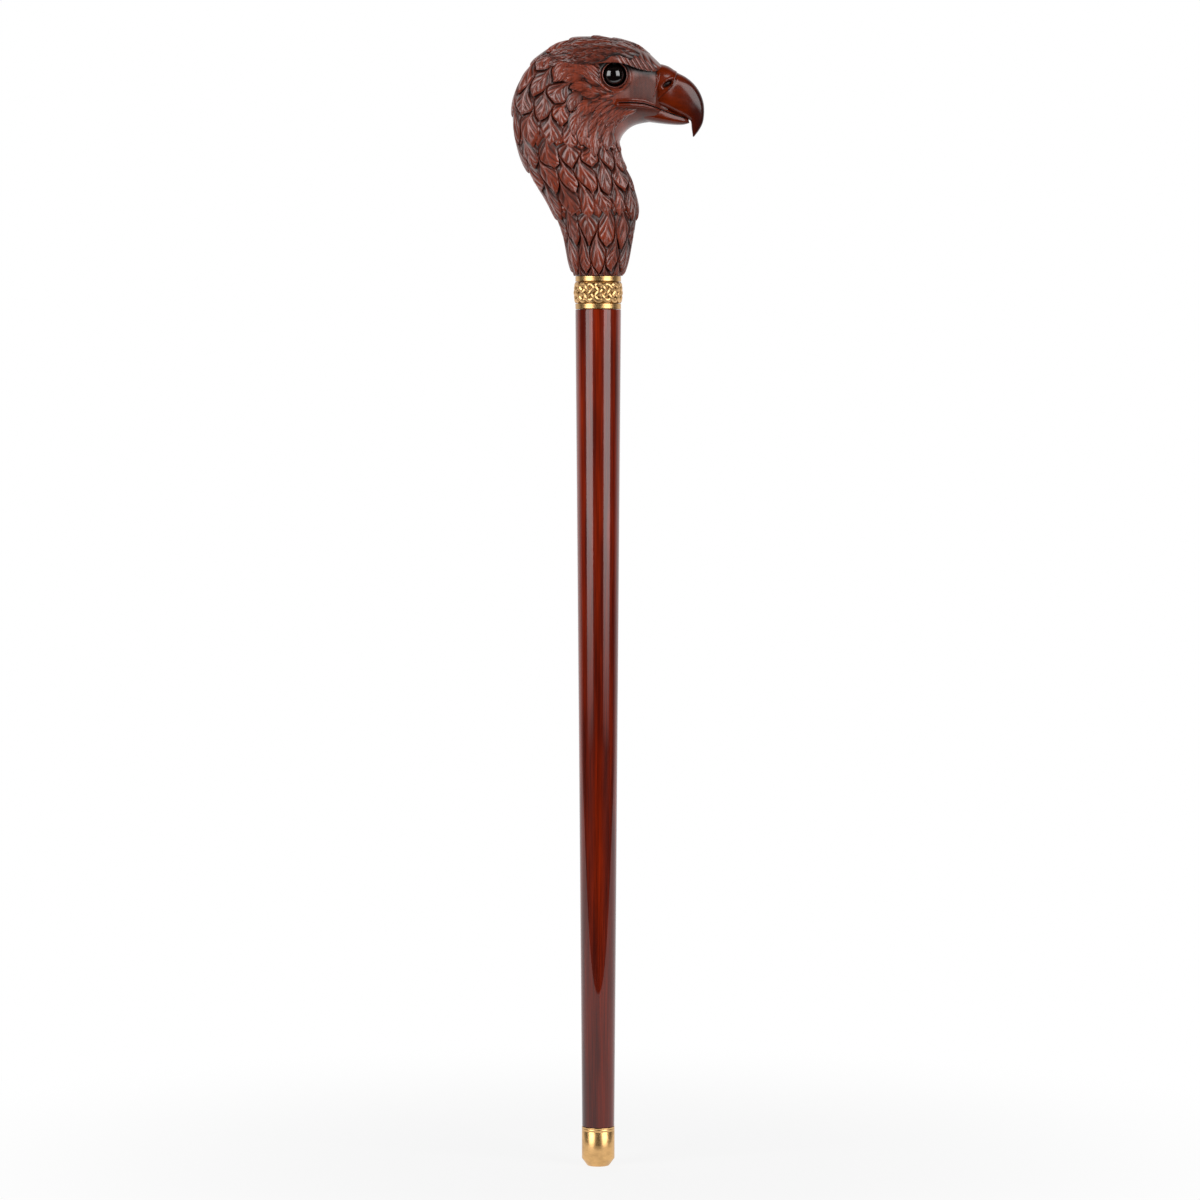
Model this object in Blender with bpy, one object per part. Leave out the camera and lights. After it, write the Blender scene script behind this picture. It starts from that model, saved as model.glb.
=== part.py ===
"""Walking cane: a carved eagle head on a tapered hardwood shaft, with a brass collar and a brass ferrule.

Metres, +Z up. The origin is the middle of the ferrule's foot, the beak points along +X, and the bird's right side
faces -Y. The head unscrews from the shaft on a stud.
"""

import math
from functools import lru_cache

import bmesh
import bpy
import numpy as np
from mathutils import Matrix, Vector
from mathutils.bvhtree import BVHTree

MM = 0.001

# Fits and facets
CLEARANCE = 0.3 * MM
ROUND_SIDES = 40
SMALL_ROUND_SIDES = 20
BEAK_SIDES = 20
GROOVE_SIDES = 6
EYE_DOME_STEPS = 6

# Ferrule
FERRULE_HEIGHT = 32 * MM
FERRULE_RADIUS = 13.3 * MM
FERRULE_WALL = 1.2 * MM
FERRULE_FLOOR = 8 * MM
FOOT_RADIUS = 8.9 * MM
FOOT_CHAMFER_HEIGHT = 6 * MM
FERRULE_LIP_ROUND = 0.4 * MM

# Shaft, between the ferrule's rim and the collar
SHAFT_LENGTH = 663 * MM
SHAFT_TOP_STEP = 0.05 * MM
SHAFT_FOOT_STEP = 0.15 * MM
SHAFT_EDGE_ROUND = 0.4 * MM

# Collar
SLEEVE_HEIGHT = 26.5 * MM
SLEEVE_RADIUS = 16.2 * MM
SLEEVE_WALL = 1.2 * MM
RIM_RING_HEIGHT = 4.4 * MM
RIM_RING_WALL = 1.9 * MM
RIM_EDGE_ROUND = 0.4 * MM
BAND_EDGE_WALL = 1.55 * MM
BAND_CROWN = 0.5 * MM

# Plait on the band: strands that each go once round the band in waves, over and under each other
PLAIT_STRANDS = 4
PLAIT_WAVES = 4
PLAIT_STEPS = 10
PLAIT_START = math.radians(-88.5)
STRAND_WIDTH = 4 * MM
STRAND_UNDER = 0.5 * MM
STRAND_OVER = 1.2 * MM
STRAND_SLOPE = 1.1 * MM
STRAND_SUNK = 0.5 * MM
STRAND_MARGIN = 0.25 * MM

# Joint between the head and the shaft
STUD_RADIUS = 5 * MM
STUD_ENGAGED = 15 * MM
STUD_IN_HEAD = 38 * MM
STUD_CHAMFER = 0.8 * MM
PILOT_LENGTH = 4 * MM
INSERT_LENGTH = 22 * MM
INSERT_RADIUS = 8 * MM
INSERT_FLANGE_RADIUS = 9.5 * MM
INSERT_FLANGE = 2 * MM
INSERT_BORE_RUNOUT = 3 * MM

# Head: the length that the tables of its shape count in, and its feathers
HEAD_UNIT = 1 * MM
FEATHER_COLUMNS = 12
FEATHER_ROWS = 15
FEATHER_DEPTH = 1.9 * MM
FEATHER_FADE = 14 * MM
NECK_FOOT_FLARE = 0.8 * MM
NECK_FOOT_ROUND = 2.2 * MM
NECK_SWELL = 3 * MM
NECK_SWELL_HEIGHT = 12 * MM

# Head: outline of its sections
THROAT_FULLNESS = 0.92
SECTION_POINTS = 240

# Eyes
EYE_RADIUS = 9.5 * MM
EYE_DOME = 5.2 * MM
EYE_SEAT = 3 * MM
EYE_X = 13.2 * MM
EYE_ABOVE_COLLAR = 160 * MM
EYE_FROM_MIDDLE = 22.6 * MM
EYE_FORWARD_TILT = math.radians(13)
LID_WIDTH = 1.6 * MM
LID_SPREAD = 2.7 * MM
LID_ROOT = 9 * MM

# Beak
GAPE_GROOVE_RADIUS = 0.9 * MM
NOSTRIL_LENGTH = 6.4 * MM
NOSTRIL_HEIGHT = 2.6 * MM
NOSTRIL_DEPTH = 2.4 * MM
NOSTRIL_X = 55.6 * MM
NOSTRIL_BELOW_RIDGE = 14.4 * MM
NOSTRIL_SLANT = math.radians(-32)

# Heights and radii worked out from the sizes above
SHAFT_TOP = FERRULE_HEIGHT + CLEARANCE + SHAFT_LENGTH
COLLAR_BOTTOM = SHAFT_TOP + CLEARANCE
COLLAR_TOP = COLLAR_BOTTOM + SLEEVE_HEIGHT
HEAD_BOTTOM = COLLAR_TOP + CLEARANCE
SLEEVE_BORE = SLEEVE_RADIUS - SLEEVE_WALL
RING_BORE = SLEEVE_RADIUS + CLEARANCE
RIM_RING_RADIUS = RING_BORE + RIM_RING_WALL
BAND_EDGE_RADIUS = RING_BORE + BAND_EDGE_WALL
SHAFT_TOP_RADIUS = RIM_RING_RADIUS + SHAFT_TOP_STEP
SHAFT_FOOT_RADIUS = FERRULE_RADIUS - SHAFT_FOOT_STEP
TENON_RADIUS = SLEEVE_BORE - CLEARANCE
TENON_TOP = HEAD_BOTTOM - PILOT_LENGTH - CLEARANCE
FERRULE_BORE = FERRULE_RADIUS - FERRULE_WALL
BOLT_BORE = STUD_RADIUS + CLEARANCE

# Sections of the neck and head, from the collar to the face. Each has its row of feathers, the point on the nape or
# crown and the point on the throat or chin, as X and the height above the collar, its half width, all in head units,
# and how full the nape or crown is, where 1 is an ellipse and less is squarer.
HEAD_SECTIONS = (
    (1.5, (-28.2, 36.0), (27.4, 35.0), 22.8, 0.92),
    (2.5, (-38.0, 57.0), (30.4, 55.5), 25.2, 0.92),
    (3.5, (-50.2, 76.0), (25.6, 76.0), 26.4, 0.92),
    (4.5, (-60.4, 94.5), (18.2, 92.5), 27.4, 0.92),
    (5.5, (-66.6, 116.5), (16.8, 104.5), 28.0, 0.92),
    (6.5, (-67.2, 138.5), (19.0, 111.6), 28.2, 0.92),
    (7.5, (-60.8, 158.0), (23.4, 117.0), 28.2, 0.90),
    (8.5, (-48.6, 173.6), (28.4, 120.4), 27.8, 0.86),
    (9.5, (-33.6, 184.6), (34.0, 122.2), 27.0, 0.80),
    (10.5, (-15.8, 189.6), (39.6, 123.2), 25.2, 0.74),
    (11.5, (2.0, 190.2), (44.8, 123.4), 22.6, 0.70),
    (12.5, (20.0, 187.4), (49.4, 123.2), 19.6, 0.70),
    (13.5, (35.0, 182.4), (53.4, 122.8), 16.2, 0.76),
    (14.3, (44.6, 175.2), (56.0, 122.6), 13.4, 0.84),
    (15.1, (50.6, 167.6), (58.0, 123.0), 11.0, 0.92),
)

# Sections of the upper beak, from the back of the cere to the tip of the hook: the point on the ridge, the point on
# the cutting edge and the half width, in head units, with heights above the collar.
BEAK_SECTIONS = (
    ((46.0, 169.0), (43.6, 135.6), 12.4),
    ((49.0, 169.6), (46.8, 135.4), 13.4),
    ((56.0, 167.8), (52.6, 134.2), 12.6),
    ((63.0, 163.4), (58.8, 131.8), 11.0),
    ((70.6, 159.4), (64.4, 129.4), 9.8),
    ((77.2, 153.8), (69.2, 127.4), 8.5),
    ((82.0, 146.8), (72.6, 125.6), 7.2),
    ((84.8, 138.8), (74.4, 124.2), 6.0),
    ((85.4, 130.6), (74.9, 121.6), 4.8),
    ((84.2, 123.0), (75.2, 118.4), 3.6),
    ((81.2, 117.0), (75.8, 114.6), 2.3),
    ((77.2, 111.8), (76.2, 111.6), 0.7),
)

# Sections of the lower beak, from inside the head to its tip, given in the same way.
LOWER_BEAK_SECTIONS = (
    ((34.0, 139.0), (33.0, 124.4), 15.5),
    ((44.0, 138.0), (44.0, 123.0), 12.2),
    ((54.0, 134.4), (54.0, 121.8), 9.8),
    ((62.0, 131.0), (62.0, 121.2), 7.6),
    ((68.0, 128.6), (68.4, 121.3), 5.4),
    ((72.6, 126.0), (73.4, 122.6), 2.2),
)

# Sections of the brow over each eye, from the back of the head to its front end above the cere: X, the point of its
# overhanging edge and the point where it runs into the crown, each as the distance from the middle plane and the
# height above the collar, in head units.
BROW_SECTIONS = (
    (-40.0, (16.2, 173.6), (13.4, 177.6)),
    (-27.0, (24.2, 169.6), (18.0, 181.6)),
    (-11.0, (27.6, 167.8), (20.2, 183.4)),
    (3.0, (28.6, 168.9), (20.0, 184.6)),
    (13.0, (28.6, 169.4), (18.4, 184.6)),
    (22.0, (26.8, 168.2), (15.2, 184.0)),
    (31.0, (23.2, 165.2), (11.0, 182.6)),
    (40.0, (18.2, 163.2), (6.0, 178.6)),
    (47.0, (13.4, 163.6), (4.0, 172.6)),
    (51.0, (8.6, 166.4), (3.0, 168.8)),
)
BROW_BULGE = 1.6
BROW_ROOT = 9.0
BROW_ROOT_STOP = 1.0
BROW_STEPS = (0.0, 0.12, 0.35, 0.65, 1.0)

# The mouth line on the cheek and beak, from the corner of the mouth forward, as X and height above the collar, in
# head units.
GAPE_LINE = ((17.0, 137.6), (26.0, 138.2), (36.0, 137.6), (45.0, 135.4), (54.0, 131.6), (62.0, 129.4), (69.0, 126.6))

# The line in front of which the sides of the face carry no feathers, as height above the collar and X, in head units.
FACE_LINE = ((110.0, 20.0), (124.0, 20.0), (134.0, 10.0), (150.0, -4.0), (166.0, -6.0), (174.0, 16.0), (178.0, 44.0))


def clear_scene():
    for obj in list(bpy.data.objects):
        bpy.data.objects.remove(obj, do_unlink=True)


def material(name, colour, roughness, metallic=0.0):
    made = bpy.data.materials.new(name)
    made.use_nodes = True
    shader = made.node_tree.nodes["Principled BSDF"]
    shader.inputs["Base Color"].default_value = (*colour, 1.0)
    shader.inputs["Roughness"].default_value = roughness
    shader.inputs["Metallic"].default_value = metallic
    return made


def add_object(name, bm, finish, sharp_angle=40.0):
    """Turns a bmesh into a named object in the scene, with its faces out and its round faces shaded smooth."""
    bmesh.ops.recalc_face_normals(bm, faces=bm.faces)
    if bm.calc_volume(signed=True) < 0:
        bmesh.ops.reverse_faces(bm, faces=bm.faces)
    mesh = bpy.data.meshes.new(name)
    bm.to_mesh(mesh)
    bm.free()
    mesh.shade_smooth()
    mesh.set_sharp_from_angle(angle=math.radians(sharp_angle))
    obj = bpy.data.objects.new(name, mesh)
    bpy.context.scene.collection.objects.link(obj)
    if finish:
        mesh.materials.append(finish)
    return obj


def turned(profile, sides, closed):
    """A solid turned about Z from (radius, height) points. A closed profile makes a ring, an open one ends on Z."""
    bm = bmesh.new()
    corners = [bm.verts.new((radius, 0, height)) for radius, height in profile]
    edges = [bm.edges.new(pair) for pair in zip(corners, corners[1:])]
    if closed:
        edges.append(bm.edges.new((corners[-1], corners[0])))
    bmesh.ops.spin(
        bm,
        geom=corners + edges,
        cent=(0, 0, 0),
        axis=(0, 0, 1),
        angle=math.tau,
        steps=sides,
        use_merge=True,
        use_duplicate=False,
    )
    bmesh.ops.remove_doubles(bm, verts=bm.verts, dist=1e-7)
    return bm


def round_bar(radius, bottom, top, sides=ROUND_SIDES):
    return turned([(0, bottom), (radius, bottom), (radius, top), (0, top)], sides, closed=False)


def boolean(target, tool, operation):
    """Joins the tool to the target, or cuts it away, and keeps the tool as a hidden guide. Returns the modifier."""
    modifier = target.modifiers.new(f"{operation.title()} {tool.name}", "BOOLEAN")
    modifier.operation = operation
    modifier.solver = "EXACT"
    modifier.object = tool
    tool.hide_render = True
    tool.display_type = "WIRE"
    return modifier


def make_ferrule(finish):
    profile = [
        (0, 0),
        (FOOT_RADIUS, 0),
        (FERRULE_RADIUS, FOOT_CHAMFER_HEIGHT),
        (FERRULE_RADIUS, FERRULE_HEIGHT - FERRULE_LIP_ROUND),
        (FERRULE_RADIUS - FERRULE_LIP_ROUND, FERRULE_HEIGHT),
        (FERRULE_BORE, FERRULE_HEIGHT),
        (FERRULE_BORE, FERRULE_FLOOR),
        (0, FERRULE_FLOOR),
    ]
    return add_object("ferrule", turned(profile, ROUND_SIDES, closed=False), finish, 30)


def make_shaft(finish):
    """The tapered stick, with a tenon in the ferrule, one in the collar, and the bore for the insert."""
    foot_tenon = FERRULE_BORE - CLEARANCE
    shaft_bottom = FERRULE_HEIGHT + CLEARANCE
    flange_seat = TENON_TOP - INSERT_FLANGE - CLEARANCE
    bore_bottom = TENON_TOP - INSERT_LENGTH - INSERT_BORE_RUNOUT
    profile = [
        (0, FERRULE_FLOOR + CLEARANCE),
        (foot_tenon, FERRULE_FLOOR + CLEARANCE),
        (foot_tenon, shaft_bottom),
        (SHAFT_FOOT_RADIUS, shaft_bottom),
        (SHAFT_TOP_RADIUS, SHAFT_TOP - SHAFT_EDGE_ROUND),
        (SHAFT_TOP_RADIUS - SHAFT_EDGE_ROUND, SHAFT_TOP),
        (TENON_RADIUS, SHAFT_TOP),
        (TENON_RADIUS, TENON_TOP),
        (INSERT_FLANGE_RADIUS + CLEARANCE, TENON_TOP),
        (INSERT_FLANGE_RADIUS + CLEARANCE, flange_seat),
        (INSERT_RADIUS + CLEARANCE, flange_seat),
        (INSERT_RADIUS + CLEARANCE, bore_bottom),
        (0, bore_bottom),
    ]
    return add_object("shaft", turned(profile, ROUND_SIDES, closed=False), finish, 30)


def make_insert(finish):
    flange_bottom = TENON_TOP - INSERT_FLANGE
    profile = [
        (BOLT_BORE, TENON_TOP),
        (BOLT_BORE, TENON_TOP - INSERT_LENGTH),
        (INSERT_RADIUS, TENON_TOP - INSERT_LENGTH),
        (INSERT_RADIUS, flange_bottom),
        (INSERT_FLANGE_RADIUS, flange_bottom),
        (INSERT_FLANGE_RADIUS, TENON_TOP),
    ]
    return add_object("shaft_insert", turned(profile, SMALL_ROUND_SIDES, closed=True), finish, 30)


def make_stud(finish):
    bottom = TENON_TOP - STUD_ENGAGED
    top = HEAD_BOTTOM + STUD_IN_HEAD
    tip = STUD_RADIUS - STUD_CHAMFER
    profile = [
        (0, bottom),
        (tip, bottom),
        (STUD_RADIUS, bottom + STUD_CHAMFER),
        (STUD_RADIUS, top - STUD_CHAMFER),
        (tip, top),
        (0, top),
    ]
    return add_object("stud", turned(profile, SMALL_ROUND_SIDES, closed=False), finish, 30)


def make_collar_sleeve(finish):
    profile = [
        (SLEEVE_BORE, COLLAR_TOP),
        (SLEEVE_BORE, COLLAR_BOTTOM),
        (SLEEVE_RADIUS, COLLAR_BOTTOM),
        (SLEEVE_RADIUS, COLLAR_TOP),
    ]
    return add_object("collar_sleeve", turned(profile, ROUND_SIDES, closed=True), finish, 30)


def make_rim_ring(name, bottom, finish):
    """A plain ring with its outer corners broken, which slides on the sleeve."""
    top = bottom + RIM_RING_HEIGHT
    profile = [
        (RING_BORE, top),
        (RING_BORE, bottom),
        (RIM_RING_RADIUS - RIM_EDGE_ROUND, bottom),
        (RIM_RING_RADIUS, bottom + RIM_EDGE_ROUND),
        (RIM_RING_RADIUS, top - RIM_EDGE_ROUND),
        (RIM_RING_RADIUS - RIM_EDGE_ROUND, top),
    ]
    return add_object(name, turned(profile, ROUND_SIDES, closed=True), finish, 30)


def band_heights():
    bottom = COLLAR_BOTTOM + RIM_RING_HEIGHT + CLEARANCE
    top = COLLAR_TOP - RIM_RING_HEIGHT - CLEARANCE
    return bottom, top


def band_radius(height):
    """Radius of the barrel-shaped band at a height."""
    bottom, top = band_heights()
    across = (2 * height - bottom - top) / (top - bottom)
    return BAND_EDGE_RADIUS + BAND_CROWN * (1 - across * across)


def strand_path(strand, turned_by):
    """The middle of a strand where it has gone turned_by radians: its height and how far it stands off the band.

    The strands are a quarter wave apart, so they cross in three rows. Each goes over the others in the top and bottom
    rows where it falls, and in the middle row where it rises.
    """
    bottom, top = band_heights()
    reach = (top - bottom - STRAND_WIDTH) / 2 - STRAND_MARGIN
    phase = turned_by * PLAIT_WAVES - math.tau * strand / PLAIT_STRANDS
    over = -math.cos(PLAIT_STRANDS * phase) * math.sin(phase)
    height = (bottom + top) / 2 + reach * math.cos(phase)
    return height, STRAND_UNDER + (STRAND_OVER - STRAND_UNDER) * (1 + over) / 2


def strand_solid(strand):
    """A strand as one closed loop, flat on top, with sloping sides and a little sunk into the band."""
    half = STRAND_WIDTH / 2
    steps = PLAIT_WAVES * PLAIT_STEPS
    step = math.tau / steps
    rings = []
    for i in range(steps):
        height, off = strand_path(strand, i * step)
        rise = strand_path(strand, (i + 0.5) * step)[0] - strand_path(strand, (i - 0.5) * step)[0]
        ground = band_radius(height)
        across = Vector((-rise, ground * step)).normalized()
        outline = (
            (-half, -STRAND_SUNK),
            (STRAND_SLOPE - half, off),
            (half - STRAND_SLOPE, off),
            (half, -STRAND_SUNK),
        )
        ring = []
        for sideways, out in outline:
            angle = PLAIT_START + i * step + across.x * sideways / ground
            radius = ground + out
            z = height + across.y * sideways
            ring.append((radius * math.cos(angle), radius * math.sin(angle), z))
        rings.append(ring)
    return loft(rings, closed=True)


def make_braid_band(finish):
    """The cast band: a barrel with the plait raised on it."""
    bottom, top = band_heights()
    outer = [(band_radius(height), height) for height in (bottom, (bottom + top) / 2, top)]
    profile = [(RING_BORE, top), (RING_BORE, bottom)] + outer
    band = add_object("braid_band", turned(profile, ROUND_SIDES, closed=True), finish, 30)
    for strand in range(PLAIT_STRANDS):
        boolean(band, add_object(f"Guide strand {strand + 1}", strand_solid(strand), None), "UNION")
    return band


def smooth_curve(parameters, values, at):
    """Catmull-Rom interpolation of rows of values through uneven parameters."""
    parameters = np.asarray(parameters, float)
    values = np.asarray(values, float)
    slopes = np.gradient(values, parameters, axis=0)
    span = int(np.clip(np.searchsorted(parameters, at, side="right") - 1, 0, len(parameters) - 2))
    width = parameters[span + 1] - parameters[span]
    t = (at - parameters[span]) / width
    start = (2 * t**3 - 3 * t**2 + 1) * values[span] + (t**3 - 2 * t**2 + t) * width * slopes[span]
    end = (3 * t**2 - 2 * t**3) * values[span + 1] + (t**3 - t**2) * width * slopes[span + 1]
    return start + end


def section(back, front, half_width, fullness_back, fullness_front, points):
    """Points round a section through two points of the middle plane, evenly spaced along its outline.

    A fullness of 1 is an ellipse, and a smaller one is squarer. The first point is the back one.
    """
    angle = np.linspace(0, math.tau, 361)
    cosine, sine = np.cos(angle), np.sin(angle)
    power = np.where(cosine > 0, fullness_back, fullness_front)
    along = np.sign(cosine) * np.abs(cosine) ** power
    across = np.sign(sine) * np.abs(sine) ** power * half_width
    back, front = np.asarray(back), np.asarray(front)
    middle, reach = (back + front) / 2, (back - front) / 2
    outline = np.stack([middle[0] + along * reach[0], across, middle[1] + along * reach[1]], axis=1)
    steps = np.linalg.norm(np.diff(outline, axis=0), axis=1)
    length = np.concatenate([[0], np.cumsum(steps)])
    wanted = np.linspace(0, length[-1], points, endpoint=False)
    return np.stack([np.interp(wanted, length, outline[:, i]) for i in range(3)], axis=1)


def head_controls():
    """Rows and values of the head's sections in metres, the first two tied to the collar that the neck stands on."""
    foot = RIM_RING_RADIUS + NECK_FOOT_FLARE
    swell = foot + NECK_SWELL
    rows = [0.0, 0.5]
    values = [
        (-foot, NECK_FOOT_ROUND, foot, NECK_FOOT_ROUND, foot, 1.0),
        (-swell, NECK_SWELL_HEIGHT, swell, NECK_SWELL_HEIGHT, foot + NECK_SWELL / 2, 1.0),
    ]
    for row, back, front, half_width, fullness in HEAD_SECTIONS:
        rows.append(row)
        values.append((*(size * HEAD_UNIT for size in (*back, *front, half_width)), fullness))
    return rows, values


@lru_cache(maxsize=None)
def head_section(row):
    """The section of the neck or head at a row of feathers, counted up from the collar."""
    rows, values = head_controls()
    back_x, back_z, front_x, front_z, half_width, fullness = smooth_curve(rows, values, row)
    back, front = (back_x, HEAD_BOTTOM + back_z), (front_x, HEAD_BOTTOM + front_z)
    return section(back, front, half_width, fullness, THROAT_FULLNESS, SECTION_POINTS)


def head_point(row, column):
    """The point of the smooth head at a row and a column, where FEATHER_COLUMNS columns go round."""
    outline = head_section(row)
    place = (column / FEATHER_COLUMNS % 1.0) * SECTION_POINTS
    low = int(place) % SECTION_POINTS
    return outline[low] + (outline[(low + 1) % SECTION_POINTS] - outline[low]) * (place - int(place))


def head_normal(row, column):
    last_row = head_controls()[0][-1]
    below, above = max(row - 0.1, 0.0), min(row + 0.1, last_row)
    up = head_point(above, column) - head_point(below, column)
    round_it = head_point(row, column + 0.1) - head_point(row, column - 0.1)
    normal = np.cross(up, round_it)
    return normal / np.linalg.norm(normal)


def feather_depth(point):
    """How far feather tips stand off the head at a point: full on the neck and crown, none on the face and chin."""
    height = point[2] - HEAD_BOTTOM
    line = np.asarray(FACE_LINE) * HEAD_UNIT
    edge = np.interp(height, line[:, 0], line[:, 1])
    fade = np.clip((edge - point[0]) / FEATHER_FADE, 0, 1)
    if height < line[0, 0]:
        fade = 1.0
    depth = FEATHER_DEPTH * (0.35 + 0.65 * fade) if fade > 0 else 0.0
    return depth * np.clip(height / NECK_SWELL_HEIGHT, 0.55, 1)


class FeatherMesh:
    """The neck and head with their feathers, as rows of overlapping leaves.

    Rows count up from the collar. A feather roots at row + 2, is widest at row + 1 and ends in its tip at row. The
    rows are staggered by half a column. Each meeting point of four feathers has three heights: the root of one
    feather, the side corners of two, and the raised tip of the one that lies over them. The edges between are bowed,
    so that a feather keeps its width before it narrows to its tip.
    """

    ROOT, CORNER, TIP = 0.0, 0.42, 1.0
    # Rows above the tip, columns from it, own height and the height of what lies below, down a feather's lower edge
    EDGE = ((0.46, 0.39, 0.7, 0.12), (0.17, 0.22, 0.92, 0.3))
    # Rows above the tip, columns from it and height, on the spine and half way to the edges
    SPINE = ((1.42, 0.0, 0.6), (0.9, 0.0, 1.05), (0.4, 0.0, 1.2))
    VANE = ((1.02, 0.27, 0.85), (0.48, 0.2, 1.05))

    def __init__(self, rows, columns):
        self.bm = bmesh.new()
        self.rows, self.columns = rows, columns
        self.verts = {}

    def vert(self, row, column, height):
        column = round(column % self.columns, 4)
        point = head_point(row, column)
        depth = feather_depth(point) * height
        key = (round(row, 4), column, round(height, 4) if depth > 0 else 0.0)
        if key not in self.verts:
            self.verts[key] = self.bm.verts.new(point + head_normal(row, column) * depth)
        return self.verts[key]

    def lower_edge(self, tip_row, column, side):
        """Points between the corner and the tip along a feather's lower edge: its own, and those under them."""
        own = [self.vert(tip_row + up, column + side * off, height) for up, off, height, _ in self.EDGE]
        under = [self.vert(tip_row + up, column + side * off, height) for up, off, _, height in self.EDGE]
        return own, under

    def face(self, *verts):
        distinct = []
        for vert in verts:
            if vert not in distinct:
                distinct.append(vert)
        if len(distinct) > 2:
            self.bm.faces.new(distinct)

    def feather(self, tip_row, column):
        """One feather: its two vanes, and the steps down to what lies under its lower edges."""
        root = self.vert(tip_row + 2, column, self.ROOT)
        tip = self.vert(tip_row, column, self.TIP)
        tip_below = self.vert(tip_row, column, self.CORNER)
        high, middle, low = (self.vert(tip_row + up, column, raised) for up, _, raised in self.SPINE)
        for side in (-1, 1):
            corner = self.vert(tip_row + 1, column + side / 2, self.CORNER)
            corner_root = self.vert(tip_row + 1, column + side / 2, self.ROOT)
            upper, shoulder = self.lower_edge(tip_row + 1, column + side / 2, -side)[1]
            (edge, point), (edge_below, point_below) = self.lower_edge(tip_row, column, side)
            vane, tail = (self.vert(tip_row + up, column + side * off, raised) for up, off, raised in self.VANE)
            self.face(root, upper, high)
            self.face(upper, vane, high)
            self.face(upper, shoulder, vane)
            self.face(shoulder, corner, vane)
            self.face(high, vane, middle)
            self.face(corner, edge, vane)
            self.face(edge, tail, vane)
            self.face(vane, tail, middle)
            self.face(middle, tail, low)
            self.face(edge, point, tail)
            self.face(tail, point, low)
            self.face(point, tip, low)
            self.face(corner, edge, edge_below, corner_root)
            self.face(edge, point, point_below, edge_below)
            self.face(point, tip, tip_below, point_below)

    def cut_feather(self, column):
        """The upper half of a feather of the lowest row, which the collar cuts off."""
        root = self.vert(1, column, self.ROOT)
        foot = self.vert(0, column, self.SPINE[1][2])
        spine = self.vert(self.SPINE[0][0] - 1, column, self.SPINE[0][2])
        for side in (-1, 1):
            corner = self.vert(0, column + side / 2, self.CORNER)
            upper, shoulder = self.lower_edge(0, column + side / 2, -side)[1]
            vane = self.vert(0, column + side * self.VANE[0][1], self.VANE[0][2])
            self.face(root, upper, spine)
            self.face(upper, shoulder, vane)
            self.face(upper, vane, spine)
            self.face(shoulder, corner, vane)
            self.face(vane, foot, spine)

    def top_gap(self, column):
        """The bare skin between two roots of the top row."""
        row = self.rows
        below = self.vert(row - 1, column, self.CORNER)
        left, right = (self.vert(row, column + side, self.ROOT) for side in (-0.5, 0.5))
        left_edge, right_edge = (self.lower_edge(row - 1, column, side)[1] for side in (-1, 1))
        self.face(left, *left_edge, below, *reversed(right_edge), right)

    def columns_of(self, row):
        """The columns on which the tips of a row lie."""
        shift = 0.5 * (row % 2)
        return [column + shift for column in range(self.columns)]

    def build(self):
        for tip_row in range(0, self.rows - 1):
            for column in self.columns_of(tip_row):
                self.feather(tip_row, column)
        for column in self.columns_of(1):
            self.cut_feather(column)
        for column in self.columns_of(self.rows - 1):
            self.top_gap(column)
        self.close_ends()
        return self.bm

    def close_ends(self):
        """Caps the face end with a flat polygon, and brings the foot down to the round seat on the collar."""
        crown = [self.vert(self.rows, column, self.ROOT) for column in self.columns_of(self.rows)]
        self.bm.faces.new(crown)
        _, off, vane_height = self.VANE[0]
        foot = []
        for column in self.columns_of(0):
            foot.append(self.vert(0, column, self.CORNER))
            foot.append(self.vert(0, column + 0.5 - off, vane_height))
            foot.append(self.vert(0, column + 0.5, self.SPINE[1][2]))
            foot.append(self.vert(0, column + 0.5 + off, vane_height))
        seat = [self.bm.verts.new((vert.co.x, vert.co.y, HEAD_BOTTOM)) for vert in foot]
        for vert in seat:
            vert.co.xy = vert.co.xy.normalized() * RIM_RING_RADIUS
        for i, vert in enumerate(foot):
            after = (i + 1) % len(foot)
            self.bm.faces.new((vert, foot[after], seat[after], seat[i]))
        self.bm.faces.new(seat)


def loft(rings, closed=False):
    """A solid through rings of points, each end a flat cap unless the rings close into a loop."""
    bm = bmesh.new()
    loops = [[bm.verts.new(point) for point in ring] for ring in rings]
    following = loops[1:] + loops[:1] if closed else loops[1:]
    for ring, after in zip(loops, following):
        for i, vert in enumerate(ring):
            j = (i + 1) % len(ring)
            bm.faces.new((vert, ring[j], after[j], after[i]))
    if not closed:
        bm.faces.new(loops[0])
        bm.faces.new(loops[-1])
    return bm


def beak_solid(sections, ridge_fullness, edge_fullness):
    rings = []
    for ridge, edge, half_width in sections:
        (ridge_x, ridge_z), (edge_x, edge_z) = ridge, edge
        rings.append(
            section(
                (ridge_x * HEAD_UNIT, HEAD_BOTTOM + ridge_z * HEAD_UNIT),
                (edge_x * HEAD_UNIT, HEAD_BOTTOM + edge_z * HEAD_UNIT),
                half_width * HEAD_UNIT,
                ridge_fullness,
                edge_fullness,
                BEAK_SIDES,
            )
        )
    return loft(rings)


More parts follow.
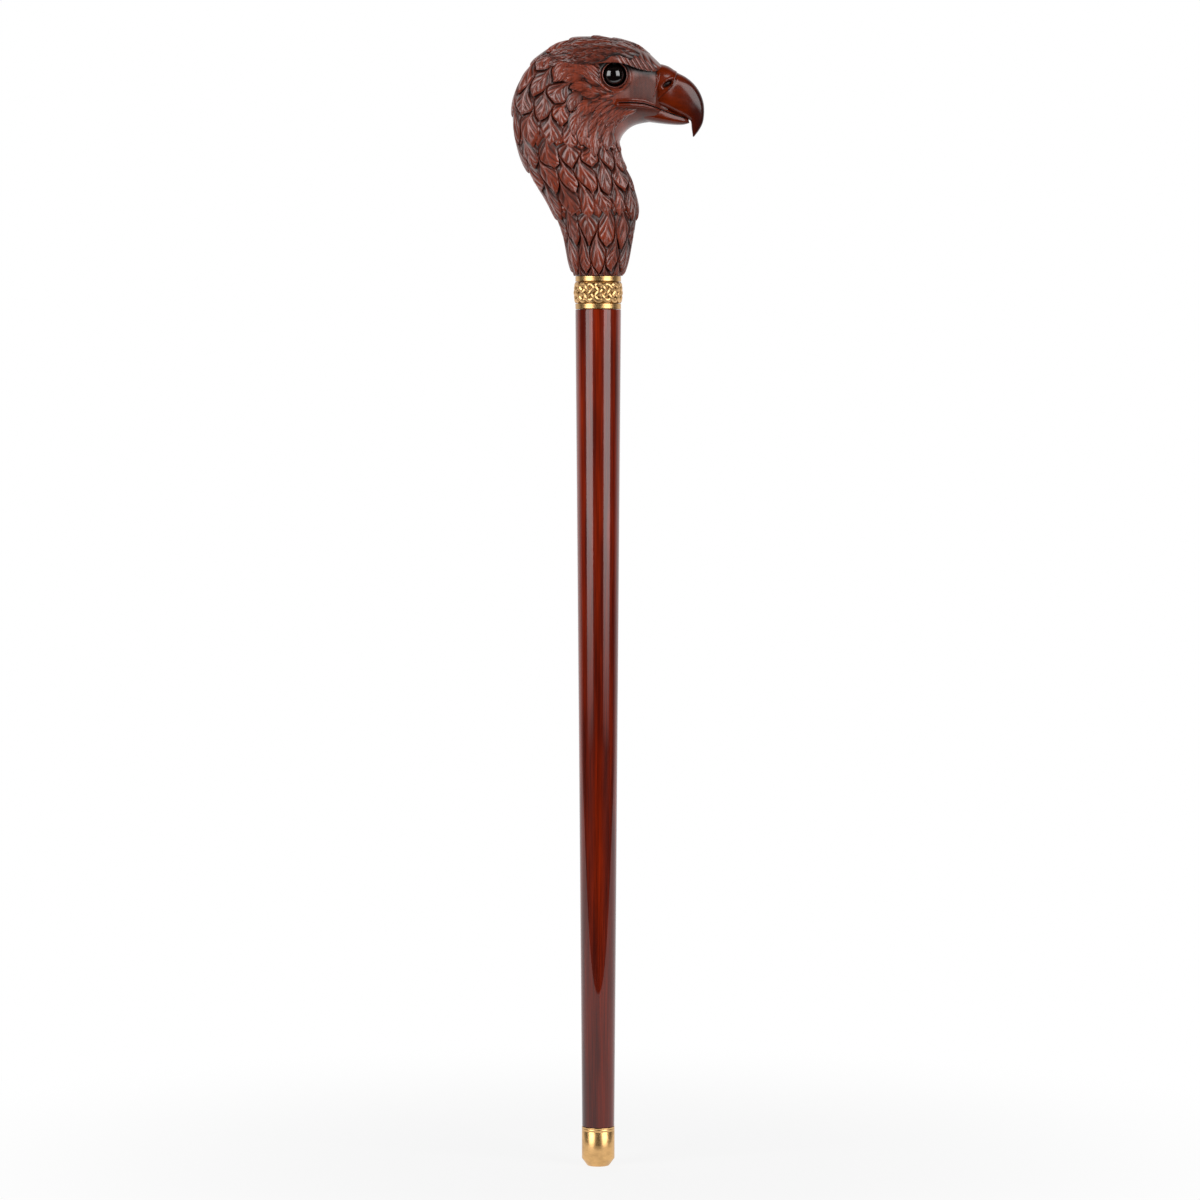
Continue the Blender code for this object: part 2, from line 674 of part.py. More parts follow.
def brow_solid(side):
    """The brow on one side, -1 for the bird's right and +1 for its left: a shelf that swells out of the crown."""
    rings = []
    for x, edge, top in BROW_SECTIONS:
        edge, top = np.asarray(edge), np.asarray(top)
        bulge = np.array((edge[0] + BROW_BULGE, edge[1] + 0.6 * (top[1] - edge[1])))
        root = min(BROW_ROOT, top[0] - BROW_ROOT_STOP)
        outline = [(1 - t) ** 2 * edge + 2 * t * (1 - t) * bulge + t * t * top for t in BROW_STEPS]
        outline += [np.array((top[0] - root, (top[1] + edge[1]) / 2)), edge - (root, 0)]
        rings.append([(x * HEAD_UNIT, side * y * HEAD_UNIT, HEAD_BOTTOM + z * HEAD_UNIT) for y, z in outline])
    return loft(rings)


def eye_frame(side):
    """The matrix whose Z axis points out of the eye on one side, with its origin in the plane of the lid's rim."""
    outward = Vector((math.sin(EYE_FORWARD_TILT), side * math.cos(EYE_FORWARD_TILT), 0))
    turn = outward.to_track_quat("Z", "Y").to_matrix().to_4x4()
    return Matrix.Translation((EYE_X, side * EYE_FROM_MIDDLE, HEAD_BOTTOM + EYE_ABOVE_COLLAR)) @ turn


def eye_solid(side):
    """A glass dome with a short straight edge that sits in its socket."""
    profile = [(0, -EYE_SEAT), (EYE_RADIUS, -EYE_SEAT)]
    for i in range(EYE_DOME_STEPS + 1):
        angle = math.pi / 2 * i / EYE_DOME_STEPS
        profile.append((EYE_RADIUS * math.cos(angle), EYE_DOME * math.sin(angle)))
    profile[-1] = (0, EYE_DOME)
    bm = turned(profile, SMALL_ROUND_SIDES, closed=False)
    bm.transform(eye_frame(side))
    return bm


def lid_solid(side):
    """The rim of wood round the eye, wider at its root inside the head."""
    rim = EYE_RADIUS + CLEARANCE + LID_WIDTH
    profile = [(0, -LID_ROOT), (rim + LID_SPREAD, -LID_ROOT), (rim, 0), (0, 0)]
    bm = turned(profile, SMALL_ROUND_SIDES, closed=False)
    bm.transform(eye_frame(side))
    return bm


def socket_cutter(side):
    bm = round_bar(EYE_RADIUS + CLEARANCE, -EYE_SEAT - CLEARANCE, 4 * EYE_DOME, SMALL_ROUND_SIDES)
    bm.transform(eye_frame(side))
    return bm


def nearest_outside(trees, x, z, side):
    """The point where a line along Y, from well outside at X and Z, first meets any of the surfaces."""
    start = Vector((x, side * z, z))
    hits = [tree.ray_cast(start, Vector((0, -side, 0)))[0] for tree in trees]
    return min((hit for hit in hits if hit), key=lambda hit: (hit - start).length)


def gape_cutter(trees, side):
    """A round groove that follows the mouth line over the cheek and beak."""
    line = [(x * HEAD_UNIT, HEAD_BOTTOM + z * HEAD_UNIT) for x, z in GAPE_LINE]
    path = [nearest_outside(trees, x, z, side) for x, z in line]
    rings = []
    for i, point in enumerate(path):
        along = (path[min(i + 1, len(path) - 1)] - path[max(i - 1, 0)]).normalized()
        up = Vector((0, 0, 1))
        outward = along.cross(up).normalized()
        up = outward.cross(along)
        ring = []
        for k in range(GROOVE_SIDES):
            angle = math.tau * k / GROOVE_SIDES
            ring.append(point + (outward * math.cos(angle) * 2 + up * math.sin(angle)) * GAPE_GROOVE_RADIUS)
        rings.append(ring)
    return loft(rings)


def ridge_height(x):
    """Height of the upper beak's ridge at X, on straight lines between its sections."""
    ridge = [(place_x * HEAD_UNIT, above * HEAD_UNIT) for (place_x, above), _, _ in BEAK_SECTIONS]
    ahead = next(i for i, (place_x, _) in enumerate(ridge) if place_x > x)
    (start_x, start), (end_x, end) = ridge[ahead - 1], ridge[ahead]
    return HEAD_BOTTOM + start + (end - start) * (x - start_x) / (end_x - start_x)


def nostril_cutter(trees, side):
    """A slanted oval hollow, cut in the cere's side under the ridge."""
    height = ridge_height(NOSTRIL_X) - NOSTRIL_BELOW_RIDGE
    point = nearest_outside(trees, NOSTRIL_X, height, side)
    bm = bmesh.new()
    bmesh.ops.create_uvsphere(bm, u_segments=12, v_segments=8, radius=1)
    place = (
        Matrix.Translation(point)
        @ Matrix.Rotation(NOSTRIL_SLANT, 4, "Y")
        @ Matrix.Diagonal((NOSTRIL_LENGTH / 2, NOSTRIL_DEPTH, NOSTRIL_HEIGHT / 2, 1))
    )
    bm.transform(place)
    return bm


def make_head(finish):
    """The carved head: feathered neck and crown, joined to its beak, brows and lids, then cut for what it holds."""
    feathered = FeatherMesh(FEATHER_ROWS, FEATHER_COLUMNS).build()
    upper_beak = beak_solid(BEAK_SECTIONS, 1.05, 0.62)
    lower_beak = beak_solid(LOWER_BEAK_SECTIONS, 0.8, 0.8)
    trees = [BVHTree.FromBMesh(solid) for solid in (feathered, upper_beak, lower_beak)]
    joined = [("upper beak", upper_beak), ("lower beak", lower_beak)]
    cut = []
    for side, name in ((-1, "right"), (1, "left")):
        joined += [(f"{name} brow", brow_solid(side)), (f"{name} lid", lid_solid(side))]
        cut += [
            (f"{name} socket", socket_cutter(side)),
            (f"{name} mouth line", gape_cutter(trees, side)),
            (f"{name} nostril", nostril_cutter(trees, side)),
        ]
    pilot_bottom = HEAD_BOTTOM - PILOT_LENGTH
    joined.append(("pilot", round_bar(TENON_RADIUS, pilot_bottom, HEAD_BOTTOM + PILOT_LENGTH)))
    bore_top = HEAD_BOTTOM + STUD_IN_HEAD + CLEARANCE
    cut.append(("stud bore", round_bar(BOLT_BORE, pilot_bottom - PILOT_LENGTH, bore_top, SMALL_ROUND_SIDES)))
    head = add_object("eagle_head", feathered, finish, 25)
    for name, solid in joined:
        boolean(head, add_object(f"Guide {name}", solid, None), "UNION")
    for name, solid in cut:
        boolean(head, add_object(f"Guide {name}", solid, None), "DIFFERENCE")
    return head


def main():
    clear_scene()
    rosewood = material("Lacquered rosewood", (0.12, 0.018, 0.008), 0.15)
    carved_wood = material("Carved rosewood", (0.11, 0.022, 0.012), 0.35)
    brass = material("Polished brass", (0.62, 0.42, 0.18), 0.22, 1.0)
    steel = material("Zinc-plated steel", (0.55, 0.55, 0.53), 0.35, 1.0)
    glass = material("Black glass", (0.004, 0.003, 0.003), 0.05)
    make_ferrule(brass)
    make_shaft(rosewood)
    make_insert(brass)
    make_stud(steel)
    make_collar_sleeve(brass)
    make_rim_ring("lower_rim_ring", COLLAR_BOTTOM, brass)
    make_rim_ring("upper_rim_ring", COLLAR_TOP - RIM_RING_HEIGHT, brass)
    make_braid_band(brass)
    make_head(carved_wood)
    add_object("right_eye", eye_solid(-1), glass)
    add_object("left_eye", eye_solid(1), glass)


main()
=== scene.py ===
"""The looks of a walking cane with a carved eagle head, a lacquered shaft, and a brass collar and ferrule.

Metres, +Z up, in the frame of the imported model: the origin is the middle of the ferrule's foot, the beak
points along +X, and the bird's right side faces -Y. Each sub-assembly is a class that holds its sizes,
shapes its meshes and dresses them. Sizes that aren't multiplied by MM, as in the tables of sections, are
said to be in mm.
"""

import logging
import math
from collections.abc import Iterable, Sequence
from dataclasses import dataclass, field
from enum import Enum

import bmesh
import bpy
import numpy as np
from mathutils import Matrix, Vector
from mathutils.bvhtree import BVHTree


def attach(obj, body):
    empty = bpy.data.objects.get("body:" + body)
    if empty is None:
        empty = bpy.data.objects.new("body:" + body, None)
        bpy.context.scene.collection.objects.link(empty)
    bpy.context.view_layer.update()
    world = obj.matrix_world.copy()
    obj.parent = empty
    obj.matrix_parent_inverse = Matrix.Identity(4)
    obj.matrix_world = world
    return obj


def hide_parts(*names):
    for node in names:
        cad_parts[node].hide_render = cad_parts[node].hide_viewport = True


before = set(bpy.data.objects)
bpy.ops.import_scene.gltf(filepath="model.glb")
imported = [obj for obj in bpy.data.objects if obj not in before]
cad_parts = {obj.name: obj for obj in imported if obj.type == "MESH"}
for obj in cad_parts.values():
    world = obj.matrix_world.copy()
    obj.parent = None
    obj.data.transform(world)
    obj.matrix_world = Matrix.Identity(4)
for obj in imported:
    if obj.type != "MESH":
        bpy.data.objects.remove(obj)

LOG = logging.getLogger("cane")
MM = 0.001
WELD = 1e-7  # points nearer than this, in metres, are one
CARVED_WELD = 1e-6
STAIN_AND_SHADE = "carve"  # the attribute that says how free a point is of stain and of painted shade, which darkens cuts, gaps and overhangs
TONE = "tone"  # the attribute that says how red a feather is
BLEND = {"data_type": "RGBA"}
TINT = {"data_type": "RGBA", "blend_type": "MULTIPLY"}
Array = np.ndarray
Profile = Sequence[tuple[float, float]]
Colour = tuple[float, float, float, float]
Shape = bmesh.types.BMesh
Socket = bpy.types.NodeSocket
Tree = bpy.types.NodeTree
Feeds = dict[str, Socket]  # what feeds a shader's inputs, by their names


class Body(Enum):
    """The CAD bodies that pieces ride on."""

    SHAFT = "shaft"
    STUD = "stud"
    HEAD = "head"


class Side(Enum):
    """A side of the bird, valued as the sign of its Y."""

    RIGHT = -1
    LEFT = 1

    @property
    def word(self) -> str:
        """The side as it stands in the name of a piece."""
        return self.name.lower()


class Slot(Enum):
    """The record's material slots; each finish holds one, but no piece is given it here."""

    CARVED_WOOD = "carved_wood"
    LACQUERED_WOOD = "lacquered_wood"
    EYE_GLASS = "eye_glass"
    POLISHED_BRASS = "polished_brass"
    CAST_BRASS = "cast_brass"
    STEEL = "steel"


def linear(colour: str) -> Colour:
    """Turns an sRGB hex colour into linear red, green, blue and alpha.

    Args:
        colour: Six hex digits after a hash.

    Returns:
        The linear colour, with an alpha of 1.
    """
    parts = [int(colour[i : i + 2], 16) / 255 for i in (1, 3, 5)]
    red, green, blue = (p / 12.92 if p <= 0.04045 else ((p + 0.055) / 1.055) ** 2.4 for p in parts)
    return red, green, blue, 1.0


def grey(value: float) -> Colour:
    """A grey of a linear value, for ramps that make a mask."""
    return value, value, value, 1.0


def add_node(
    tree: Tree, kind: str, inputs: dict | None = None, take: str | None = None, **settings: object
) -> Socket:
    """Adds a node with its settings and links.

    Args:
        tree: The node tree.
        kind: The node's Blender type, after the word ShaderNode.
        inputs: Values, or output sockets to link from, by the name or number of the input.
        take: Name of the wanted output, or nothing for the first that is in use.
        **settings: Attributes of the node. stops gives a colour ramp its two (place, colour) pairs.

    Returns:
        The wanted output.
    """
    node = tree.nodes.new(f"ShaderNode{kind}")
    stops = settings.pop("stops", ())
    for name, value in settings.items():
        setattr(node, name, value)
    for socket, value in (inputs or {}).items():
        if isinstance(value, Socket):
            tree.links.new(value, node.inputs[socket])
        else:
            node.inputs[socket].default_value = value
    for i, (place, colour) in enumerate(stops):
        node.color_ramp.elements[i].position = place
        node.color_ramp.elements[i].color = colour
    return node.outputs[take] if take else next(socket for socket in node.outputs if socket.enabled)


@dataclass(frozen=True)
class Finish:
    """A surface: what it is made of, how it was made, and how it takes light.

    Attributes:
        specular: Gloss of the surface under the lacquer, where 0.5 is that of bare wood or glass.
        grooved: How strongly fine grooves round the axis stretch its highlights along it.
    """

    name: str
    slot: Slot
    base: str
    roughness: float
    metallic: float = 0.0
    coat: float = 0.0
    coat_roughness: float = 0.03
    specular: float = 0.5
    grooved: float = 0.0

    def build(self) -> bpy.types.Material:
        """Makes the material.

        Returns:
            The material, with the finish's own pattern linked to the shader.
        """
        made = bpy.data.materials.new(self.name)
        made.use_nodes = True
        tree = made.node_tree
        shader = tree.nodes["Principled BSDF"]
        values = {
            "Base Color": linear(self.base),
            "Roughness": self.roughness,
            "Metallic": self.metallic,
            "Coat Weight": self.coat,
            "Coat Roughness": self.coat_roughness,
            "Specular IOR Level": self.specular,
            "Anisotropic": self.grooved,
        }
        for socket, value in values.items():
            shader.inputs[socket].default_value = value
        feeds = self.pattern(tree)
        if self.grooved:
            feeds["Tangent"] = add_node(tree, "Tangent", direction_type="RADIAL", axis="Z")
        for socket, source in feeds.items():
            tree.links.new(source, shader.inputs[socket])
        return made

    def pattern(self, tree: Tree) -> Feeds:
        """Makes the finish's own pattern.

        Args:
            tree: The node tree.

        Returns:
            The feeds.
        """
        return {}

    def noise(
        self, tree: Tree, pitch_mm: Sequence[float], detail: float = 4.0
    ) -> Socket:
        """Adds noise on the object's own coordinates.

        Args:
            tree: The node tree.
            pitch_mm: Size of the blotches along X, Y and Z, in mm.
            detail: How many finer layers it has.

        Returns:
            The noise's value.
        """
        place = add_node(tree, "TexCoord", take="Object")
        scale = tuple(1 / (pitch * MM) for pitch in pitch_mm)
        stretched = add_node(tree, "Mapping", {"Vector": place, "Scale": scale})
        return add_node(
            tree, "TexNoise", {"Vector": stretched, "Scale": 1.0, "Detail": detail, "Roughness": 0.6}
        )


@dataclass(frozen=True)
class CarvedRosewood(Finish):
    """Rosewood, chip-carved, with stain and painted shade dark in its cuts, and brushed with satin lacquer.

    The eye sees red-brown ridges with a rosy sheen, near-black lines of pooled stain and of shade painted
    into the colour, and faint grain.

    Attributes:
        lore_mm: X, Z and radius of the lore, the bare skin before the eye, cross-hatched with a fine chisel.
        lore_coat: Weight of the lacquer there, where the hatching breaks it up.
    """

    name: str = "Carved rosewood, satin lacquer"
    slot: Slot = Slot.CARVED_WOOD
    base: str = "#7a3829"
    roughness: float = 0.42
    coat: float = 1.0
    coat_roughness: float = 0.26
    specular: float = 0.45
    red: str = "#993816"
    # Near-black, used both for stain in the cuts and for painted shade.
    stain: str = "#1a0805"
    grain_mm: tuple = (1.6, 1.6, 22.0)
    patch_mm: tuple = (14, 14, 20)
    pores_mm: tuple = (0.5, 0.5, 2.4)
    lore_mm: tuple = (36.0, 870.5, 16.0)
    lore_coat: float = 0.15
    lore_roughness: float = 0.6
    hatch_mm: float = 0.6
    hatch_turns: tuple = (-35, 50)

    def pattern(self, tree: Tree) -> Feeds:
        """Mixes grain, each feather's own tone, and the stain and painted shade of its cuts and gaps, and
        roughens the wood a little.

        Args:
            tree: The node tree.

        Returns:
            The feeds.
        """
        grain = self.noise(tree, self.grain_mm)
        patches = self.noise(tree, self.patch_mm, 2.0)
        tone = add_node(tree, "Attribute", take="Fac", attribute_name=TONE)
        lean = add_node(tree, "Math", {0: patches, 1: tone}, operation="ADD")
        leaning = {"Value": lean, "From Min": 0.3, "From Max": 1.6, "To Min": 0.1, "To Max": 0.9}
        redness = add_node(tree, "MapRange", leaning)
        reddened = {"Factor": redness, "A": linear(self.base), "B": linear(self.red)}
        hue = add_node(tree, "Mix", reddened, **BLEND)
        streak = add_node(tree, "ValToRGB", {"Fac": grain}, stops=[(0.30, grey(0.62)), (0.62, grey(1.1))])
        wood = add_node(tree, "Mix", {"Factor": 1.0, "A": hue, "B": streak}, **TINT)
        # Painted shade and stain: a per-point share darkens the wood towards the stain colour in cuts, in the
        # gaps under feather tips, under the brows and round the eyes, and thins the lacquer there.
        carve = add_node(tree, "Attribute", take="Fac", attribute_name=STAIN_AND_SHADE)
        unstained_unshaded = add_node(tree, "ValToRGB", {"Fac": carve}, stops=[(0.02, grey(0.0)), (0.75, grey(1.0))])
        colour = add_node(tree, "Mix", {"Factor": unstained_unshaded, "A": linear(self.stain), "B": wood}, **BLEND)
        hatch, lore = self.hatching(tree)
        cuts = add_node(tree, "Math", {0: hatch, 1: lore}, operation="MULTIPLY")
        coat = add_node(tree, "MapRange", {"Value": lore, "To Min": self.coat, "To Max": self.lore_coat})
        thinned = add_node(tree, "MapRange", {"Value": carve, "From Max": 0.7, "To Min": 0.12})
        pores = self.noise(tree, self.pores_mm, 2.0)
        rough = add_node(tree, "Bump", {"Height": pores, "Strength": 0.08, "Distance": 0.15 * MM})
        hatched = {"Height": cuts, "Strength": 0.45, "Distance": 0.2 * MM, "Normal": rough}
        dulled = {"Value": lore, "To Min": self.roughness, "To Max": self.lore_roughness}
        stained = {"Factor": cuts, "A": colour, "B": linear(self.stain)}
        return {
            "Base Color": add_node(tree, "Mix", stained, **BLEND),
            "Roughness": add_node(tree, "MapRange", dulled),
            "Coat Weight": add_node(tree, "Math", {0: coat, 1: thinned}, operation="MULTIPLY"),
            "Normal": add_node(tree, "Bump", hatched, invert=True),
        }

    def hatching(self, tree: Tree) -> tuple[Socket, Socket]:
        """Crosses two sets of fine cuts, and finds the lore.

        Args:
            tree: The node tree.

        Returns:
            The cuts, from 0 to 1, and how much a point is on the lore, from 0 to 1.
        """
        place = add_node(tree, "TexCoord", take="Object")
        scale = 0.5 / (self.hatch_mm * MM * math.pi)
        waves = {"Scale": scale, "Distortion": 3.0, "Detail": 2.0, "Detail Scale": 1.6}
        sets = []
        for turn in self.hatch_turns:
            askew = {"Vector": place, "Rotation": (0, math.radians(turn), 0)}
            waved = {"Vector": add_node(tree, "Mapping", askew), **waves}
            sets.append(add_node(tree, "TexWave", waved, take="Fac", bands_direction="X"))
        nearer = add_node(tree, "Math", dict(enumerate(sets)), operation="MINIMUM")
        cuts = add_node(tree, "MapRange", {"Value": nearer, "From Max": 0.4, "To Min": 0.6, "To Max": 0.25})
        x, z, radius = (size * MM for size in self.lore_mm)
        flat = add_node(tree, "VectorMath", {0: place, 1: (1, 0, 1)}, operation="MULTIPLY")
        away = add_node(tree, "VectorMath", {0: flat, 1: (x, 0, z)}, operation="DISTANCE")
        nearby = {"Value": away, "From Min": radius, "From Max": 0.6 * radius}
        return cuts, add_node(tree, "MapRange", nearby, interpolation_type="SMOOTHSTEP")


@dataclass(frozen=True)
class LacqueredRosewood(Finish):
    """Turned rosewood under many coats of rubbed gloss lacquer.

    The eye sees a deep red-brown that is nearly black between long fine streaks, under a mirror-like skin.

    Attributes:
        drift_mm: Size of the broad bands in which streaks are many or few.
        foot_share: How light the wood is at its foot, beside the top; the colour is made darker towards the
            foot.
    """

    name: str = "Turned rosewood, gloss lacquer"
    slot: Slot = Slot.LACQUERED_WOOD
    base: str = "#5a1002"
    roughness: float = 0.35
    coat: float = 0.85
    specular: float = 0.1
    streak: str = "#b23006"
    grain_mm: tuple = (0.9, 0.9, 70.0)
    drift_mm: tuple = (9, 9, 160)
    foot_share: float = 0.45
    stained: tuple = (0.05, 0.55)

    def pattern(self, tree: Tree) -> Feeds:
        """Mixes the long grain and the slow drift of colour along the stick.

        Args:
            tree: The node tree.

        Returns:
            The feeds.
        """
        fine = self.noise(tree, self.grain_mm, 5.0)
        broad = self.noise(tree, self.drift_mm, 2.0)
        both = add_node(tree, "Math", {0: fine, 1: broad}, operation="MULTIPLY")
        share = add_node(tree, "ValToRGB", {"Fac": both}, stops=[(0.16, grey(0.0)), (0.46, grey(1.0))])
        streaked = {"Factor": share, "A": linear(self.base), "B": linear(self.streak)}
        colour = add_node(tree, "Mix", streaked, **BLEND)
        # The colour is made darker towards the foot.
        place = add_node(tree, "TexCoord", take="Object")
        height = add_node(tree, "SeparateXYZ", {0: place}, take="Z")
        low, high = self.stained
        climb = {"Value": height, "From Min": low, "From Max": high, "To Min": self.foot_share}
        stain = add_node(tree, "MapRange", climb)
        return {"Base Color": add_node(tree, "Mix", {"Factor": 1.0, "A": colour, "B": stain}, **TINT)}


@dataclass(frozen=True)
class AmberStainedWood(Finish):
    """The beak: the same wood scraped smooth, given an amber stain and polished under gloss lacquer.

    The eye sees clear orange-brown that deepens to near-black red at the hook, with broad soft highlights.

    Attributes:
        tip_from_mm: X at which the darker stain starts and is full.
        cut: Near-black of the painted shade in the nostrils, along the cere's front edge and in the gape,
            where the lacquer is left nearly off.
    """

    name: str = "Amber-stained rosewood, gloss lacquer"
    slot: Slot = Slot.CARVED_WOOD
    base: str = "#6e2003"
    roughness: float = 0.35
    coat: float = 0.7
    coat_roughness: float = 0.13
    specular: float = 0.1
    tip: str = "#3c0f08"
    tip_from_mm: tuple = (62.0, 84.0)
    cut: str = "#0c0302"
    grain_mm: tuple = (16, 2.0, 4.0)

    def pattern(self, tree: Tree) -> Feeds:
        """Darkens the stain towards the hook and streaks it a little.

        Args:
            tree: The node tree.

        Returns:
            The feeds.
        """
        place = add_node(tree, "TexCoord", take="Object")
        along = add_node(tree, "SeparateXYZ", {0: place}, take="X")
        start, full = self.tip_from_mm
        nearing = {"Value": along, "From Min": start * MM, "From Max": full * MM}
        share = add_node(tree, "MapRange", nearing, interpolation_type="SMOOTHSTEP")
        grain = self.noise(tree, self.grain_mm, 3.0)
        streak = add_node(tree, "ValToRGB", {"Fac": grain}, stops=[(0.30, grey(0.72)), (0.66, grey(1.12))])
        deepened = {"Factor": share, "A": linear(self.base), "B": linear(self.tip)}
        stain = add_node(tree, "Mix", deepened, **BLEND)
        wood = add_node(tree, "Mix", {"Factor": 1.0, "A": stain, "B": streak}, **TINT)
        # Painted shade: a per-point share darkens the nostrils, the cere's front edge and the gape to the
        # near-black cut colour, and thins the lacquer there.
        carve = add_node(tree, "Attribute", take="Fac", attribute_name=STAIN_AND_SHADE)
        lacquer = {"Value": carve, "From Max": 0.7, "To Min": 0.05, "To Max": self.coat}
        return {
            "Base Color": add_node(tree, "Mix", {"Factor": carve, "A": linear(self.cut), "B": wood}, **BLEND),
            "Coat Weight": add_node(tree, "MapRange", lacquer),
        }


@dataclass(frozen=True)
class TurnedBrass(Finish):
    """Brass, turned on a lathe and polished.

    The eye sees warm gold with faint rings from the tool and small differences of tarnish.

    Attributes:
        ring_mm: Spacing of the tool's rings along Z, drawn coarser than the real 0.1 mm so that they show.
            Across Z the noise is so broad that the rings are whole.
    """

    name: str = "Turned brass, polished"
    slot: Slot = Slot.POLISHED_BRASS
    base: str = "#e3b478"
    roughness: float = 0.24
    metallic: float = 1.0
    grooved: float = 0.7
    tarnish: str = "#8a6a40"
    tarnish_mm: tuple = (9, 9, 5)
    ring_mm: tuple = (400, 400, 0.55)
    ring_depth: float = 0.05 * MM

    def pattern(self, tree: Tree) -> Feeds:
        """Adds tarnish, and rings across the axis of the cane.

        Args:
            tree: The node tree.

        Returns:
            The feeds.
        """
        dull = self.noise(tree, self.tarnish_mm)
        share = add_node(tree, "ValToRGB", {"Fac": dull}, stops=[(0.42, grey(0.0)), (0.8, grey(0.5))])
        tarnished = {"Factor": share, "A": linear(self.base), "B": linear(self.tarnish)}
        rings = self.noise(tree, self.ring_mm, 1.0)
        uneven = {"Value": rings, "To Min": self.roughness - 0.05, "To Max": self.roughness + 0.07}
        ringed = {"Height": rings, "Strength": 0.12, "Distance": self.ring_depth}
        return {
            "Base Color": add_node(tree, "Mix", tarnished, **BLEND),
            "Normal": add_node(tree, "Bump", ringed),
            "Roughness": add_node(tree, "MapRange", uneven),
        }


@dataclass(frozen=True)
class AntiquedBrass(Finish):
    """Brass, cast in a carved mould, blackened and rubbed back.

    The eye sees bright gold on the raised ribs and brown wax left between them.
    """

    name: str = "Cast brass, antiqued"
    slot: Slot = Slot.CAST_BRASS
    base: str = "#efc084"
    roughness: float = 0.38
    metallic: float = 1.0
    wax: str = "#8f6230"
    patch_mm: tuple = (2.5, 2.5, 2.5)
    grit_mm: tuple = (0.4, 0.4, 0.4)
    grit_depth: float = 0.1 * MM

    def pattern(self, tree: Tree) -> Feeds:
        """Darkens the recesses and gives the casting its slight grain.

        Args:
            tree: The node tree.

        Returns:
            The feeds.
        """
        carve = add_node(tree, "Attribute", take="Fac", attribute_name=STAIN_AND_SHADE)
        patches = self.noise(tree, self.patch_mm, 3.0)
        blotched = add_node(tree, "Math", {0: patches, 1: 0.5, 2: carve}, operation="MULTIPLY_ADD")
        share = add_node(tree, "ValToRGB", {"Fac": blotched}, stops=[(0.25, grey(0.0)), (0.8, grey(1.0))])
        grit = self.noise(tree, self.grit_mm, 2.0)
        rubbed = {"Factor": share, "A": linear(self.wax), "B": linear(self.base)}
        return {
            "Base Color": add_node(tree, "Mix", rubbed, **BLEND),
            "Normal": add_node(tree, "Bump", {"Height": grit, "Strength": 0.25, "Distance": self.grit_depth}),
        }


@dataclass(frozen=True)
class SmokedGlass(Finish):
    """Moulded black glass, fire-polished: nearly black, with sharp highlights and a faint brown cloud."""

    name: str = "Black glass, fire-polished"
    slot: Slot = Slot.EYE_GLASS
    base: str = "#030202"
    roughness: float = 0.03
    coat: float = 1.0
    coat_roughness: float = 0.01
    cloud: str = "#120906"
    cloud_mm: tuple = (4, 4, 4)

    def pattern(self, tree: Tree) -> Feeds:
        """Clouds the black a little.

        Args:
            tree: The node tree.

        Returns:
            The feeds.
        """
        stops = [(0.3, linear(self.base)), (0.8, linear(self.cloud))]
        clouds = {"Fac": self.noise(tree, self.cloud_mm, 2.0)}
        return {"Base Color": add_node(tree, "ValToRGB", clouds, stops=stops)}


@dataclass(frozen=True)
class ZincSteel(Finish):
    """Steel rod, thread-rolled and zinc-plated: pale grey with a dull, slightly uneven shine."""

    name: str = "Steel rod, zinc-plated"
    slot: Slot = Slot.STEEL
    base: str = "#a8aaab"
    roughness: float = 0.35
    metallic: float = 1.0
    dull: str = "#8e9092"
    bright: str = "#b9bab8"
    patch_mm: tuple = (3, 3, 3)

    def pattern(self, tree: Tree) -> Feeds:
        """Varies the plating's shine.

        Args:
            tree: The node tree.

        Returns:
            The feeds.
        """
        patches = self.noise(tree, self.patch_mm, 3.0)
        stops = [(0.3, linear(self.dull)), (0.7, linear(self.bright))]
        return {
            "Roughness": add_node(tree, "MapRange", {"Value": patches, "To Min": 0.25, "To Max": 0.5}),
            "Base Color": add_node(tree, "ValToRGB", {"Fac": patches}, stops=stops),
        }


class Surface(Enum):
    """The finishes of the cane."""

    CARVED = CarvedRosewood()
    LACQUERED = LacqueredRosewood()
    AMBER = AmberStainedWood()
    BRASS = TurnedBrass()
    CAST = AntiquedBrass()
    GLASS = SmokedGlass()
    STEEL = ZincSteel()


class Workshop:
    """Makes the materials once, and turns meshes into finished pieces of the cane."""

    def __init__(self) -> None:
        """Makes every material."""
        self.materials = {surface: surface.value.build() for surface in Surface}

    def finish(
        self,
        bm: Shape,
        name: str,
        surface: Surface,
        body: Body = Body.HEAD,
        replaces: Iterable[str] = (),
        sharp_degrees: float = 60.0,
    ) -> bpy.types.Object:
        """Closes a bmesh into a piece that rides on a CAD body.

        Args:
            bm: The shape, which is freed.
            name: The piece's name.
            surface: Its finish.
            body: The CAD body that it rides on.
            replaces: CAD nodes that it stands for.
            sharp_degrees: Edges bent by more than this stay sharp.

        Returns:
            The piece's object.
        """
        mesh = bpy.data.meshes.new(name)
        bm.to_mesh(mesh)
        bm.free()
        mesh.materials.append(self.materials[surface])
        mesh.shade_smooth()
        mesh.set_sharp_from_angle(angle=math.radians(sharp_degrees))
        piece = bpy.data.objects.new(name, mesh)
        bpy.context.scene.collection.objects.link(piece)
        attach(piece, body.value)
        if replaces:
            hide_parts(*replaces)
        LOG.info("%s: %d faces on %s", name, len(mesh.polygons), body.value)
        return piece

    def dress(self, node: str, surface: Surface) -> None:
        """Gives a CAD node that stays in view its material.

        Args:
            node: The node's name.
            surface: Its finish.
        """
        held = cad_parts[node].data.materials
        held.clear()
        held.append(self.materials[surface])


